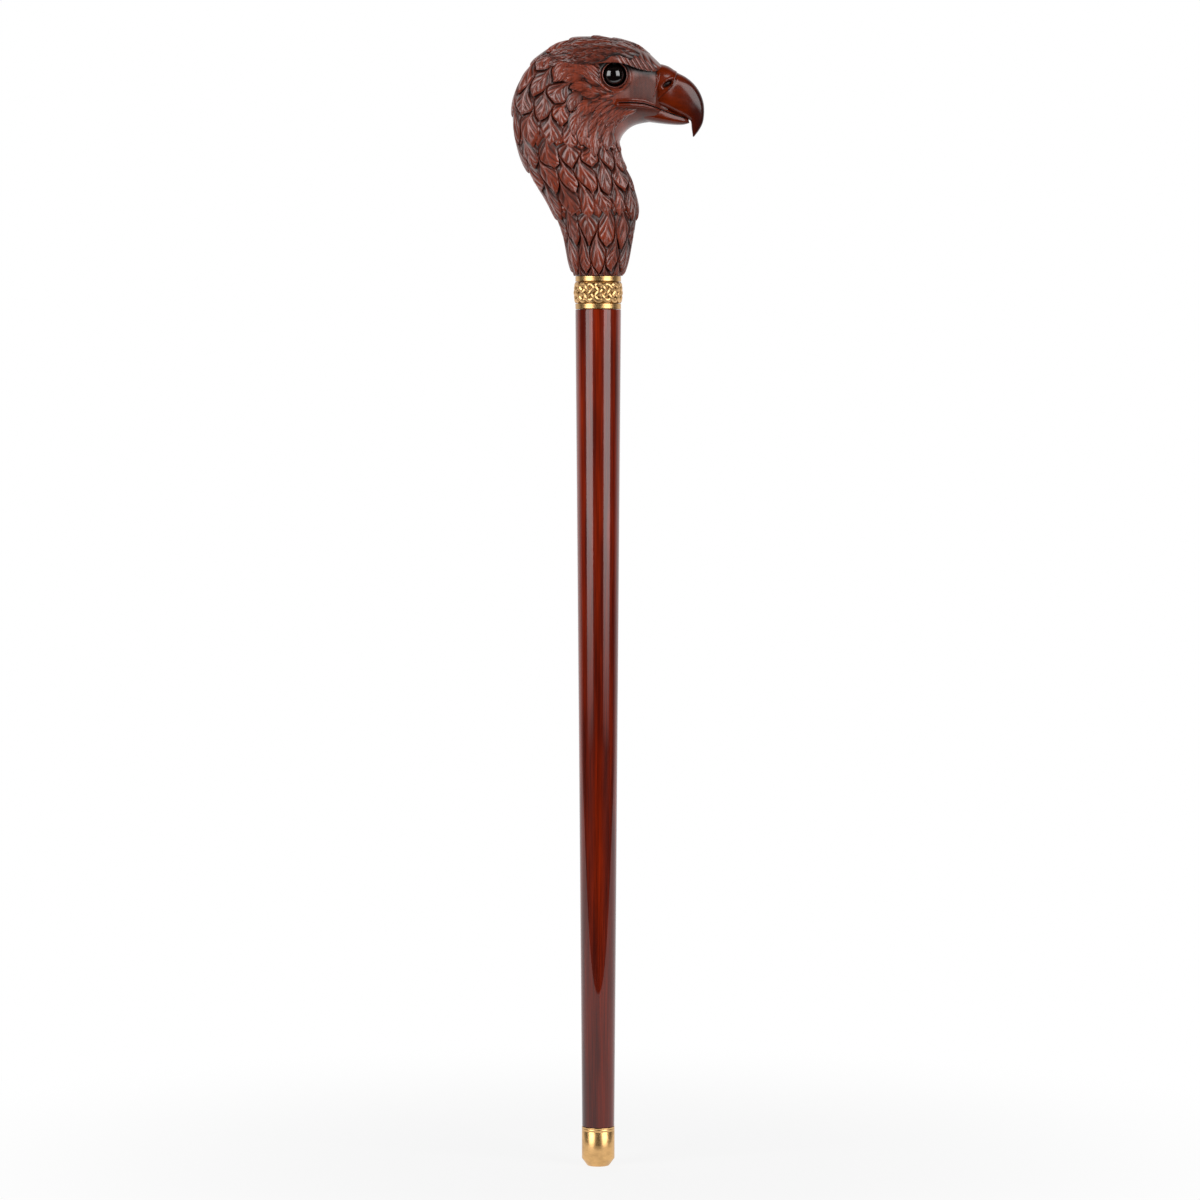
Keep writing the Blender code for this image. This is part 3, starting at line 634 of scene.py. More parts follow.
def outward(bm: Shape) -> None:
    """Merges doubles and turns every face of a closed shape outwards.

    Args:
        bm: The shape.
    """
    bmesh.ops.remove_doubles(bm, verts=bm.verts, dist=WELD)
    bmesh.ops.recalc_face_normals(bm, faces=bm.faces)
    if bm.calc_volume(signed=True) < 0:
        bmesh.ops.reverse_faces(bm, faces=bm.faces)


def turned(profile: Profile, sides: int = 160, closed: bool = False) -> Shape:
    """Turns a profile about Z, as on a lathe.

    Args:
        profile: Points as radius and height, in metres. An open one starts and ends on the axis.
        sides: Steps round the axis.
        closed: Whether the profile closes on itself into a ring.

    Returns:
        The closed shape.
    """
    bm = bmesh.new()
    corners = [bm.verts.new((radius, 0, height)) for radius, height in profile]
    following = corners[1:] + (corners[:1] if closed else [])
    geometry = corners + [bm.edges.new(pair) for pair in zip(corners, following)]
    axis = {"cent": (0, 0, 0), "axis": (0, 0, 1)}
    bmesh.ops.spin(bm, geom=geometry, **axis, angle=math.tau, steps=sides, use_merge=True)
    outward(bm)
    return bm


def broken(
    profile: Profile, width: float, corners: Iterable[int], steps: int = 3
) -> list[tuple[float, float]]:
    """Rounds chosen corners of a profile, as a turner breaks an edge.

    Args:
        profile: Points as radius and height.
        width: How far from the corner the round starts.
        corners: Numbers of the corners to round.
        steps: Points added along each round, less one.

    Returns:
        The new profile.
    """
    rounded = []
    for i, point in enumerate(profile):
        if i not in corners:
            rounded.append(point)
            continue
        here, before, after = Vector(point), Vector(profile[i - 1]), Vector(profile[(i + 1) % len(profile)])
        start = here + (before - here).normalized() * width
        end = here + (after - here).normalized() * width
        for k in range(steps + 1):
            t = k / steps
            bend = start * (1 - t) ** 2 + here * 2 * t * (1 - t) + end * t * t
            rounded.append((bend.x, bend.y))
    return rounded


def lofted(rings: Array, closed: bool = False, carve: Array | None = None) -> Shape:
    """Skins a net of points with a grid.

    Args:
        rings: Points as stations, points round each station, and X, Y and Z.
        closed: Whether the last station joins the first. Otherwise each end is capped.
        carve: How free each point is of stain and painted shade, from 0 to 1, or nothing for 1 everywhere.

    Returns:
        The closed shape, with its carve layer.
    """
    stations, around = rings.shape[:2]
    bm = bmesh.new()
    layer = bm.verts.layers.float.new(STAIN_AND_SHADE)
    steps = stations if closed else stations - 1
    made = bmesh.ops.create_grid(bm, x_segments=around, y_segments=steps, size=1.0)["verts"]
    for index, vert in enumerate(made):
        station, place = index // (around + 1) % stations, index % (around + 1) % around
        vert.co = rings[station, place]
        vert[layer] = 1.0 if carve is None else carve[station, place]
    bmesh.ops.remove_doubles(bm, verts=bm.verts, dist=WELD)
    if not closed:
        bmesh.ops.holes_fill(bm, edges=bm.edges, sides=0)
    outward(bm)
    return bm


def rims(bm: Shape) -> list[list[bmesh.types.BMEdge]]:
    """Groups the open edges of a shape into connected rims.

    Args:
        bm: The shape.

    Returns:
        The edges of each rim.
    """
    left = {edge for edge in bm.edges if edge.is_boundary}
    groups = []
    while left:
        group, spread = [], [left.pop()]
        while spread:
            edge = spread.pop()
            group.append(edge)
            near = {other for vert in edge.verts for other in vert.link_edges} & left
            left -= near
            spread += near
        groups.append(group)
    return groups


def search_tree(*nets: Array) -> BVHTree:
    """Lofts nets of points into one search tree.

    Args:
        *nets: The nets.

    Returns:
        The tree.
    """
    joined = bmesh.new()
    mesh = bpy.data.meshes.new("Search")
    for net in nets:
        bm = lofted(net)
        bm.to_mesh(mesh)
        bm.free()
        joined.from_mesh(mesh)
    tree = BVHTree.FromBMesh(joined)
    joined.free()
    bpy.data.meshes.remove(mesh)
    return tree


def reeds(phase: Array) -> Array:
    """Depth from 0 to 1 of round cuts between reeds, one to each unit of phase."""
    return (0.5 + 0.5 * np.cos(math.tau * phase)) ** 2


def smoothstep(low: float, high: float, value: Array) -> Array:
    """A smooth climb from 0 at low to 1 at high."""
    share = np.clip((value - low) / (high - low), 0, 1)
    return share * share * (3 - 2 * share)


def hermite(knots: Sequence[float], values: Array, at: Array) -> Array:
    """Smooth interpolation of rows of values.

    Args:
        knots: Where each row of values holds.
        values: The rows.
        at: Where values are wanted.

    Returns:
        A row of values for each place.
    """
    knots, values, at = np.asarray(knots, float), np.asarray(values, float), np.asarray(at, float)
    slopes = np.gradient(values, knots, axis=0)
    span = np.clip(np.searchsorted(knots, at, side="right") - 1, 0, len(knots) - 2)
    width = (knots[span + 1] - knots[span])[:, None]
    t = (at[:, None] - knots[span][:, None]) / width
    start = (2 * t**3 - 3 * t**2 + 1) * values[span] + (t**3 - 2 * t**2 + t) * width * slopes[span]
    end = (3 * t**2 - 2 * t**3) * values[span + 1] + (t**3 - t**2) * width * slopes[span + 1]
    return start + end


def distances(path: Array) -> Array:
    """How far along a path each of its points is."""
    return np.concatenate([[0], np.cumsum(np.linalg.norm(np.diff(path, axis=0), axis=1))])


def resampled(path: Profile, count: int, fine_count: int = 400) -> Array:
    """Spaces points evenly along a smooth curve through a few.

    Args:
        path: The few.
        count: How many are wanted.
        fine_count: Points that the curve is measured with.

    Returns:
        The points.
    """
    fine = hermite(range(len(path)), np.array(path), np.linspace(0, len(path) - 1, fine_count))
    length = distances(fine)
    wanted = np.linspace(0, length[-1], count)
    return np.stack([np.interp(wanted, length, fine[:, i]) for i in (0, 1)], axis=1)


def oval(
    ends: Sequence[float], foot: float, half_width: float, full: tuple[float, float], points: int
) -> Array:
    """A section through two points of the middle plane, evenly spaced along its outline from the back one.

    Args:
        ends: X and Z of the back point, and X and Z of the front point, in metres.
        foot: Height that is added to both Z.
        half_width: Half its width along Y.
        full: Fullness of the back half and of the front half, where 1 is an ellipse and less is squarer.
        points: How many points are wanted.

    Returns:
        The points.
    """
    back, front = (np.array([x, z + foot]) for x, z in (ends[:2], ends[2:]))
    angle = np.linspace(0, math.tau, 721)
    cosine, sine = np.cos(angle), np.sin(angle)
    power = np.where(cosine > 0, *full)
    along = np.sign(cosine) * np.abs(cosine) ** power
    across = np.sign(sine) * np.abs(sine) ** power * half_width
    middle, reach = (back + front) / 2, (back - front) / 2
    outline = np.stack([middle[0] + along * reach[0], across, middle[1] + along * reach[1]], axis=1)
    length = distances(outline)
    wanted = np.linspace(0, length[-1], points, endpoint=False)
    return np.stack([np.interp(wanted, length, outline[:, i]) for i in range(3)], axis=1)


def net_normals(net: Array, least: float = 0.0) -> Array:
    """Normals of a net of rings.

    Args:
        net: The rings.
        least: Added to a normal's length where rings close to a point.

    Returns:
        A normal for each point, pointing all in or all out.
    """
    beside = np.roll(net, -1, axis=1) - np.roll(net, 1, axis=1)
    normals = np.cross(np.gradient(net, axis=0), beside)
    return normals / (np.linalg.norm(normals, axis=2, keepdims=True) + least)


@dataclass
class HeadForm:
    """The smooth form under the carving, as sections that follow the neck up and over into the face.

    A row is one step of feathers along the form, up from the collar, and a column is one step round it.
    Apart from the first four, its sizes are in mm, with heights above the neck's foot.

    Attributes:
        swell: Half a row up, how far back and front stand out past the foot, how high that is, and how far
            the sides do.
        plug_depth: How far the form goes down over the row under the foot, in foot_rounds.
        sections: Row, back point, front point, half width and fullness of the back half.
        face_line: Height and X of the line where the feather coat gives way to the face.
        cheek_reach: Distances from the cheek at which the coat starts and has its full depth.
        cheek_seat: X at which the cheek starts and stops narrowing towards the beak.
        chin_seat: The same for the chin.
        jaw_line: Heights between which the chin becomes the cheek.
        narrowing: Share of its width that the form loses towards the beak.
    """

    bottom: float = 722.4 * MM
    collar_radius: float = 18.4 * MM
    foot_flare: float = 0.8 * MM
    foot_round: float = 2.2 * MM
    swell: tuple = (3, 12, 1.5)
    plug_taper: float = 0.25
    plug_depth: float = 5.7
    columns: int = 12
    row_step: float = 0.025
    around: int = 720
    last_row: float = 15.1
    throat_fullness: float = 0.92
    sections: tuple = (
        (1.5, (-28.2, 36.0), (27.4, 35.0), 22.8, 0.92),
        (2.5, (-38.0, 57.0), (30.4, 55.5), 25.2, 0.92),
        (3.5, (-50.2, 76.0), (25.6, 76.0), 26.4, 0.92),
        (4.5, (-60.4, 94.5), (18.2, 92.5), 27.4, 0.92),
        (5.5, (-66.6, 116.5), (16.8, 104.5), 28.0, 0.92),
        (6.5, (-67.2, 138.5), (19.0, 111.6), 28.2, 0.92),
        (7.5, (-60.8, 158.0), (23.4, 117.0), 28.2, 0.90),
        (8.5, (-48.6, 173.6), (28.4, 120.4), 27.8, 0.86),
        (9.5, (-33.6, 184.6), (34.0, 122.2), 27.0, 0.80),
        (10.5, (-15.8, 189.6), (39.6, 123.2), 25.2, 0.74),
        (11.5, (2.0, 190.2), (44.8, 123.4), 22.6, 0.70),
        (12.5, (20.0, 187.4), (49.4, 123.2), 19.6, 0.70),
        (13.5, (35.0, 182.4), (53.4, 122.8), 16.2, 0.76),
        (14.3, (44.6, 175.2), (56.0, 122.6), 13.4, 0.84),
        (15.1, (50.6, 167.6), (58.0, 123.0), 11.0, 0.92),
    )
    face_line: tuple = ((110, 20), (124, 20), (134, 10), (150, -4), (166, -6), (174, 16), (178, 44))
    face_fade: float = 14
    cheek: tuple = (13.2, 139.3)
    cheek_reach: tuple = (29, 40)
    cheek_seat: tuple = (46.0, 50.0)
    chin_seat: tuple = (44.0, 58.0)
    jaw_line: tuple = (132.0, 138.0)
    narrowing: float = 0.4
    rows: Array = field(init=False)
    places: Array = field(init=False)
    normals: Array = field(init=False)

    def __post_init__(self) -> None:
        """Lays out a fine net of points and normals over the form."""
        foot = self.collar_radius + self.foot_flare
        out, up, wider = (size * MM for size in self.swell)
        knots = [0.0, 0.5] + [row for row, *_ in self.sections]
        values = [
            (-foot, self.foot_round, foot, self.foot_round, foot, 1.0),
            (-(foot + out), up, foot + out, up, foot + wider, 1.0),
        ]
        for _, back, front, half, full in self.sections:
            values.append((*(size * MM for size in (*back, *front, half)), full))
        self.rows = np.arange(-1.0, self.last_row + self.row_step / 2, self.row_step)
        net = []
        for row, control in zip(self.rows, hermite(knots, np.array(values), np.maximum(self.rows, 0.0))):
            full = (control[5], self.throat_fullness)
            ring = oval(control[:4], self.bottom, control[4], full, self.around)
            if row < 0:
                ring[:, :2] *= 1 + self.plug_taper * row
                ring[:, 2] += row * self.plug_depth * self.foot_round
            net.append(ring)
        self.places = np.stack(net)
        along, height = self.side_view(self.places)
        cheek, chin = smoothstep(*self.cheek_seat, along), smoothstep(*self.chin_seat, along)
        jaw = smoothstep(*self.jaw_line, height)
        self.places[..., 1] *= 1 - self.narrowing * (chin + (cheek - chin) * jaw)
        self.normals = net_normals(self.places)

    def side_view(self, points: Array) -> tuple[Array, Array]:
        """X of points and their height above the neck's foot, in mm."""
        return points[..., 0] / MM, (points[..., 2] - self.bottom) / MM

    def onto(self, ground: BVHTree, side: Side, x: float, z: float) -> tuple[Vector | None, Vector | None]:
        """Finds the place that is seen on a surface from one side.

        Args:
            ground: The surface.
            side: The side of the bird that it is seen from.
            x: X of the place, in mm.
            z: Its height above the neck's foot, in mm.

        Returns:
            The place and the surface's normal there, or nothing where the surface isn't seen.
        """
        start = Vector((x * MM, side.value * 0.1, self.bottom + z * MM))
        return ground.ray_cast(start, Vector((0, -side.value, 0)))[:2]

    def sample(self, rows: Array, columns: Array) -> tuple[Array, Array]:
        """Points and normals of the smooth form.

        Args:
            rows: Rows of feathers, in any shape of array.
            columns: Columns, in the same shape.

        Returns:
            The points and the normals, with X, Y and Z last.
        """
        row = np.clip((rows - self.rows[0]) / self.row_step, 0, len(self.rows) - 1.001)
        low = row.astype(int)
        row_share = (row - low)[..., None]
        place = columns / self.columns % 1.0 * self.around
        left = place.astype(int) % self.around
        right = (left + 1) % self.around
        share = (place - place.astype(int))[..., None]
        answers = []
        for net in (self.places, self.normals):
            below = net[low, left] * (1 - share) + net[low, right] * share
            above = net[low + 1, left] * (1 - share) + net[low + 1, right] * share
            answers.append(below * (1 - row_share) + above * row_share)
        return answers[0], answers[1]

    def feathered(self, points: Array) -> Array:
        """How strongly feathers are carved at points.

        Args:
            points: The points.

        Returns:
            Their strengths: 1 on neck and crown, 0 on the face, cheek and chin.
        """
        x, height = self.side_view(points)
        line = np.array(self.face_line, float)
        edge = np.interp(height, line[:, 0], line[:, 1]) * MM
        behind = np.clip((edge - points[..., 0]) / (self.face_fade * MM), 0, 1)
        away = np.hypot(x - self.cheek[0], height - self.cheek[1])
        return np.where(height < line[0, 0], 1.0, behind) * smoothstep(*self.cheek_reach, away)

    def skin(self) -> Array:
        """A coarser net of the smooth form from the foot up, for pieces that lie on it."""
        return self.places[round(1 / self.row_step) :: 4, ::4]


@dataclass
class FeatherCoat:
    """The carved feathers of the neck, nape and crown.

    Each feather shows as a diamond between its own two lower edges and those of the two that overlap it. A
    diamond is a grid on two slanting coordinates, a and b, from 0 under the upper feathers to 1 at its edges.
    Its outermost cells drop to the wood below, where they meet the next diamonds.

    Attributes:
        sunk: How far the wood between feathers lies under the smooth form.
        under: How much deeper the last row of a region lies, where the next region covers it.
        face_row: Row at which the coat is cut off, inside the beak.
        regions: Name, lowest and highest row of tips, and feathers in a row, of each ring of rows.
    """

    form: HeadForm
    cells: int = 36
    depth: float = 2.9 * MM
    sunk: float = 1.0 * MM
    under: float = 2.2 * MM
    bow: float = 0.2
    arch: float = 1.55 * MM
    edge_round: float = 0.5 * MM
    rachis: float = 0.3 * MM
    barb_depth: float = 0.7 * MM
    barb_rows: float = 0.42
    barb_reach: float = 1.35
    wander: float = 0.06
    lean: float = 0.5
    face_row: float = 15.0
    seed: int = 11
    regions: tuple = (
        ("neck_foot_feathers", -3, 2, 12),
        ("neck_feathers", 2, 5, 14),
        ("nape_feathers", 5, 8, 16),
        ("crown_feathers", 8, 11, 16),
        ("forehead_feathers", 11, 13, 16),
        ("brow_root_feathers", 13, 16, 16),
    )

    def bowed(self, a: Array, b: Array) -> tuple[Array, Array]:
        """How far down and across a feather the points of its grid lie, with its edges bowed outwards.

        Args:
            a: The first slanting coordinate.
            b: The second.

        Returns:
            Rows down from the feather's root, and columns from its spine.
        """
        bowed_a = a + self.bow * np.sin(math.pi * b) * (1 + 0.35 * np.cos(math.pi * b))
        bowed_b = b + self.bow * np.sin(math.pi * a) * (1 + 0.35 * np.cos(math.pi * a))
        return bowed_a + bowed_b, (bowed_b - bowed_a) / 2

    def relief(self, a: Array, b: Array, phase: float) -> tuple[Array, Array]:
        """Shapes one feather.

        Args:
            a: The first slanting coordinate over the grid.
            b: The second.
            phase: Where the barbs start, from 0 to 1.

        Returns:
            The height in metres for a feather of full depth, and how free each point is of stain and painted
            shade.
        """
        along, across = (a + b) / 2, np.abs(b - a)
        down, off = self.bowed(a, b)
        off = np.abs(off)
        reach = np.clip(across / np.clip(2 * (1 - along), 0.06, 1.0), 0, 1)
        edge, top = np.minimum(1 - a, 1 - b), np.minimum(a, b)
        pitch = self.barb_rows * (0.85 + 0.3 * (7 * phase % 1))
        groove = reeds((down - self.barb_reach * off**0.9) / pitch + phase)
        strength = smoothstep(0.03, 0.12, off) * smoothstep(0.35, 0.9, down)
        strength *= 0.45 + 0.55 * smoothstep(0.02, 0.2, edge)
        spine = np.exp(-((off / 0.035) ** 2)) * smoothstep(0.3, 0.8, down)
        height = self.depth * along**0.9 + self.arch * (1 - reach**2) * (1 - along**4)
        height += self.rachis * spine - self.barb_depth * groove * strength
        height -= self.edge_round * (1 - smoothstep(0.0, 0.09, edge))
        height *= smoothstep(0.0, 0.12, top)
        # Painted shadow under the tips of the feathers above: darkest at the top edge, fading down the upper
        # part; the grooves are darkened too.
        unstained_unshaded = (0.25 + 0.75 * smoothstep(0.0, 0.4, top)) * smoothstep(-0.02, 0.07, top)
        unstained_unshaded = unstained_unshaded * (1 - 0.75 * groove * strength)
        return height - self.sunk, unstained_unshaded

    def lattice(self, tip_row: int, column: float, count: int, a: Array, b: Array) -> tuple[Array, Array]:
        """Rows and columns of a diamond's grid, with the pattern a little uneven.

        Args:
            tip_row: The row of its tip.
            column: Its column.
            count: How many feathers go round in its row.
            a: The first slanting coordinate.
            b: The second.

        Returns:
            The rows, and the columns counted as the form does.
        """
        down, off = self.bowed(a, b)
        rows = tip_row + 2 - down
        columns = (column + off) * self.form.columns / count
        turn = math.tau * columns / self.form.columns
        uneven = np.sin(2 * turn + 2.6 * rows) + np.sin(5 * turn - 3.8 * rows + 1)
        shifted = np.sin(3 * turn - 2.2 * rows + 2) + np.sin(6 * turn + 4.2 * rows)
        forward = self.lean * smoothstep(1.0, 6.0, rows) * np.sin(turn)
        return rows + self.wander * uneven, columns + self.wander * shifted + forward

    def build(self, shop: Workshop) -> None:
        """Carves each region as one piece.

        Args:
            shop: The workshop.
        """
        draw = np.random.default_rng(self.seed)
        for name, low, high, count in self.regions:
            bm = bmesh.new()
            bm.verts.layers.float.new(STAIN_AND_SHADE)
            bm.verts.layers.float.new(TONE)
            for tip_row in range(low, high + 1):
                hidden = self.under if tip_row == high else 0.0
                for place in range(count):
                    column = place + 0.5 * (tip_row % 2)
                    self.carve_feather(bm, tip_row, column, count, hidden, draw)
            bmesh.ops.remove_doubles(bm, verts=bm.verts, dist=CARVED_WELD)
            if low < 0:
                self.cut(bm, Vector((0, 0, self.form.bottom)), Vector((0, 0, -1)))
            if high >= self.face_row:
                ring = self.form.places[round((self.face_row - self.form.rows[0]) / self.form.row_step)]
                back, front = Vector(ring[0]), Vector(ring[len(ring) // 2])
                self.cut(bm, (back + front) / 2, (front - back).cross(Vector((0, 1, 0))))
            self.cap(bm)
            outward(bm)
            replaces = ("eagle_head",) if low < 0 else ()
            shop.finish(bm, name, Surface.CARVED, replaces=replaces, sharp_degrees=50)

    def carve_feather(
        self, bm: Shape, tip_row: int, column: float, count: int, hidden: float, draw: np.random.Generator
    ) -> None:
        """Adds one feather's diamond to a region.

        Args:
            bm: The region, with its carve and tone layers.
            tip_row: The row of the feather's tip.
            column: Its column.
            count: How many feathers go round in its row.
            hidden: How far it is sunk under the next region.
            draw: Draws where its barbs start, and its tone.
        """
        steps = np.linspace(0, 1, self.cells + 1)
        steps = steps - 0.05 * np.sin(math.tau * steps)
        a, b = np.meshgrid(np.append(steps, 1.0), np.append(steps, 1.0), indexing="ij")
        skirt = np.zeros_like(a, bool)
        skirt[-1, :] = skirt[:, -1] = True
        height, unstained_unshaded = self.relief(a, b, draw.random())
        rows, columns = self.lattice(tip_row, column, count, a, b)
        points, normals = self.form.sample(rows, columns)
        share = self.form.feathered(points)
        height = np.where(skirt, -self.sunk, height) * share - hidden
        # Painted shade: the walls down between feathers are made black, where the gaps lie in shade.
        unstained_unshaded = 1 - (1 - np.where(skirt, 0.0, unstained_unshaded)) * smoothstep(0.0, 0.5, share)
        carved, shaded = Eye().sink(points, normals * height[..., None])
        # Painted shade: darkens the eye sockets, the wood under the brows and the chin, and the crown, which
        # faces up into the light.
        unstained_unshaded = unstained_unshaded * shaded * self.shadow(points) * (1 - 0.45 * smoothstep(8.0, 11.5, rows))
        carve, tone = bm.verts.layers.float[STAIN_AND_SHADE], bm.verts.layers.float[TONE]
        own_tone = draw.random()
        grid = bmesh.ops.create_grid(bm, x_segments=self.cells + 1, y_segments=self.cells + 1, size=1.0)
        for vert, spot, shade in zip(grid["verts"], carved.reshape(-1, 3), unstained_unshaded.ravel()):
            vert.co = spot
            vert[carve] = shade
            vert[tone] = own_tone

    def shadow(self, points: Array) -> Array:
        """How free the wood is of the painted shadow under the overhang of the brows and of the painted shade
        on the chin.

        Args:
            points: Points of the smooth form.

        Returns:
            A share from 0 to 1 for each.
        """
        line = np.array([(x, edge[1]) for x, edge, _ in Brow.sections])
        x, height = self.form.side_view(points)
        below = np.interp(x, line[:, 0], line[:, 1]) - height
        inside = smoothstep(-24.0, -12.0, x) * (np.abs(points[..., 1]) > 10 * MM) * (below > -8)
        # Painted shade on the chin, which also thins its lacquer.
        chin = smoothstep(14.0, 26.0, x) * (1 - smoothstep(132.0, 139.0, height))
        return (1 - 0.97 * inside * (1 - smoothstep(1.2, 6.0, below))) * (1 - 0.5 * chin)

    def cut(self, bm: Shape, through: Vector, away: Vector) -> None:
        """Removes what lies past a plane and fills the flat end.

        Args:
            bm: The shape.
            through: A point of the plane.
            away: The plane's normal, towards what is removed.
        """
        plane = {"plane_co": through, "plane_no": away, "clear_outer": True}
        answer = bmesh.ops.bisect_plane(bm, geom=[*bm.verts, *bm.edges, *bm.faces], dist=WELD, **plane)
        rim = [item for item in answer["geom_cut"] if isinstance(item, bmesh.types.BMEdge)]
        bmesh.ops.holes_fill(bm, edges=rim, sides=0)

    def cap(self, bm: Shape) -> None:
        """Turns each open end in, under the feathers of the next region, and closes it.

        Args:
            bm: The shape.
        """
        for rim in rims(bm):
            wall = bmesh.ops.extrude_edge_only(bm, edges=rim)["geom"]
            inner = [item for item in wall if isinstance(item, bmesh.types.BMVert)]
            middle = sum((vert.co for vert in inner), Vector()) / len(inner)
            for vert in inner:
                vert.co = vert.co.lerp(middle, 0.5)
            edges = [item for item in wall if isinstance(item, bmesh.types.BMEdge) and item.is_boundary]
            bmesh.ops.holes_fill(bm, edges=edges, sides=0)


@dataclass
class Brow:
    """The ridge over an eye: a shelf of long swept feathers that overhangs the eye and runs into the crown.

    Its sizes are in mm.

    Attributes:
        sections: X, the overhanging edge and the top, each as distance from the middle and height above the
            neck's foot.
    """

    form: HeadForm
    bulge: float = 2.4
    bulge_at: float = 0.6
    root: float = 9.0
    stations: int = 240
    points: int = 40
    strokes: float = 5.0
    stroke_depth: float = 0.5
    front_from: tuple = (12.0, 26.0)
    front_pitch: float = 4.8
    front_depth: float = 0.9
    sections: tuple = (
        (-40.0, (16.2, 173.6), (13.4, 177.6)),
        (-27.0, (24.2, 169.6), (18.0, 181.6)),
        (-11.0, (27.6, 167.8), (20.2, 183.4)),
        (3.0, (28.6, 168.9), (20.0, 184.6)),
        (13.0, (28.6, 169.4), (18.4, 184.6)),
        (22.0, (26.8, 168.2), (15.2, 184.0)),
        (31.0, (23.2, 165.2), (11.0, 182.6)),
        (40.0, (18.2, 163.2), (6.0, 178.6)),
        (47.0, (13.4, 163.6), (4.0, 172.6)),
        (51.0, (8.6, 166.4), (3.0, 168.8)),
    )

    def strokes_at(self, x: float, across: Array, rise: float) -> tuple[Array, Array]:
        """Depth from 0 to 1 of the long strokes and of the short ones along a section.

        Args:
            x: X of the section.
            across: Places from its edge to its top, from 0 to 1.
            rise: Height of its top over its edge.

        Returns:
            The long strokes and the short ones.
        """
        back = self.sections[0][0]
        front = smoothstep(*self.front_from, np.array(x))
        swept = across * self.strokes + 0.05 * (x - back) * (1 - across) + 0.6 * math.sin(x * 0.11)
        groove = reeds(swept) * smoothstep(0.02, 0.15, across) * smoothstep(back, back + 12, np.array(x))
        up = across * rise
        combed = (x + 0.9 * up - 0.02 * up**2) / self.front_pitch
        stroke = reeds(combed) * front * (1 - smoothstep(0.5, 0.95, across)) * smoothstep(-0.05, 0.08, across)
        return groove * (1 - front), stroke

    def net(self, side: Side, cut: float) -> tuple[Array, Array]:
        """Points of the ridge on one side.

        Args:
            side: The side of the bird.
            cut: Depth of its strokes.

        Returns:
            The points as rings along X, and how free each is of stain and painted shade.
        """
        knots = [x for x, _, _ in self.sections]
        values = np.array([(*edge, *top) for _, edge, top in self.sections])
        xs = np.linspace(knots[0], knots[-1], self.stations)
        rings, shades = [], []
        across = np.linspace(0, 1, self.points)
        t = across[:, None]
        for x, (edge_y, edge_z, top_y, top_z) in zip(xs, hermite(knots, values, xs)):
            bulge = np.array((edge_y + self.bulge, edge_z + self.bulge_at * (top_z - edge_z)))
            edge, top = np.array((edge_y, edge_z)), np.array((top_y, top_z))
            outline = (1 - t) ** 2 * edge + 2 * t * (1 - t) * bulge + t * t * top
            tangent = np.gradient(outline, axis=0)
            normal = np.stack([tangent[:, 1], -tangent[:, 0]], axis=1)
            normal /= np.linalg.norm(normal, axis=1, keepdims=True)
            groove, stroke = self.strokes_at(x, across, top_z - edge_z)
            carved = groove * cut + stroke * cut * self.front_depth / self.stroke_depth
            outline = outline - normal * carved[:, None]
            root = min(self.root, top_y - 1)
            closing = np.array([(top_y - root, (top_z + edge_z) / 2), (edge_y - root, edge_z)])
            section = np.concatenate([outline, closing])
            depth = side.value * section[:, :1]
            rings.append(np.hstack([np.full_like(depth, x), depth, section[:, 1:]]) * MM)
            # Painted shade: the strokes are darkened, the top is darkened where it faces up into the light,
            # and the two points that close the ridge underneath are near-black as painted shadow.
            stroke_stain_and_top_shade = (1 - 0.8 * np.maximum(groove, stroke)) * (1 - 0.45 * smoothstep(0.25, 0.7, across))
            shades.append(np.concatenate([stroke_stain_and_top_shade * smoothstep(-0.02, 0.06, across), [0.2, 0.0]]))
        return np.stack(rings) + np.array([0, 0, self.form.bottom]), np.stack(shades)

    def build(self, shop: Workshop, side: Side) -> BVHTree:
        """Carves the ridge on one side.

        Args:
            shop: The workshop.
            side: The side of the bird.

        Returns:
            The ridge and the form together, for the feathers that lie on them.
        """
        points, unstained_unshaded = self.net(side, self.stroke_depth)
        shop.finish(lofted(points, carve=unstained_unshaded), f"{side.word}_brow", Surface.CARVED)
        return search_tree(self.form.skin(), self.net(side, 0.0)[0])


@dataclass(frozen=True)
class Leaf:
    """One small feather on a side of the head, seen from that side.

    Its sizes are in mm, with its root's height above the neck's foot. Its turn and bend are in degrees up
    from straight back, at its root and by its tip.
    """

    x: float
    z: float
    turn: float
    bend: float
    length: float
    width: float
    lift: float
    barbed: bool = True

    def outline(self) -> tuple[Array, Array, Array, Array]:
        """Lays out the grid of its points.

        Returns:
            X and height in mm, the share of its length from 0 to 1, and the share of its width from -1 to 1.
        """
        long, wide = (36, 24) if self.barbed else (18, 10)
        s = np.concatenate([[0.0], np.linspace(0, 1, long - 1) ** 0.9, [1.0]])
        w = np.concatenate([[-1.0], np.sin(np.linspace(-1, 1, wide - 1) * math.pi / 2), [1.0]])
        s, w = np.meshgrid(s, w, indexing="ij")
        heading = np.radians(self.turn + self.bend * s)
        step = np.diff(s[:, 0], prepend=0.0)[:, None] * self.length
        x = self.x + np.cumsum(-np.cos(heading) * step, axis=0)
        z = self.z + np.cumsum(np.sin(heading) * step, axis=0)
        half = self.width / 2 * smoothstep(-0.45, 0.5, s) * (1 - s**2.4) ** 0.85
        return x + np.sin(heading) * w * half, z + np.cos(heading) * w * half, s, w


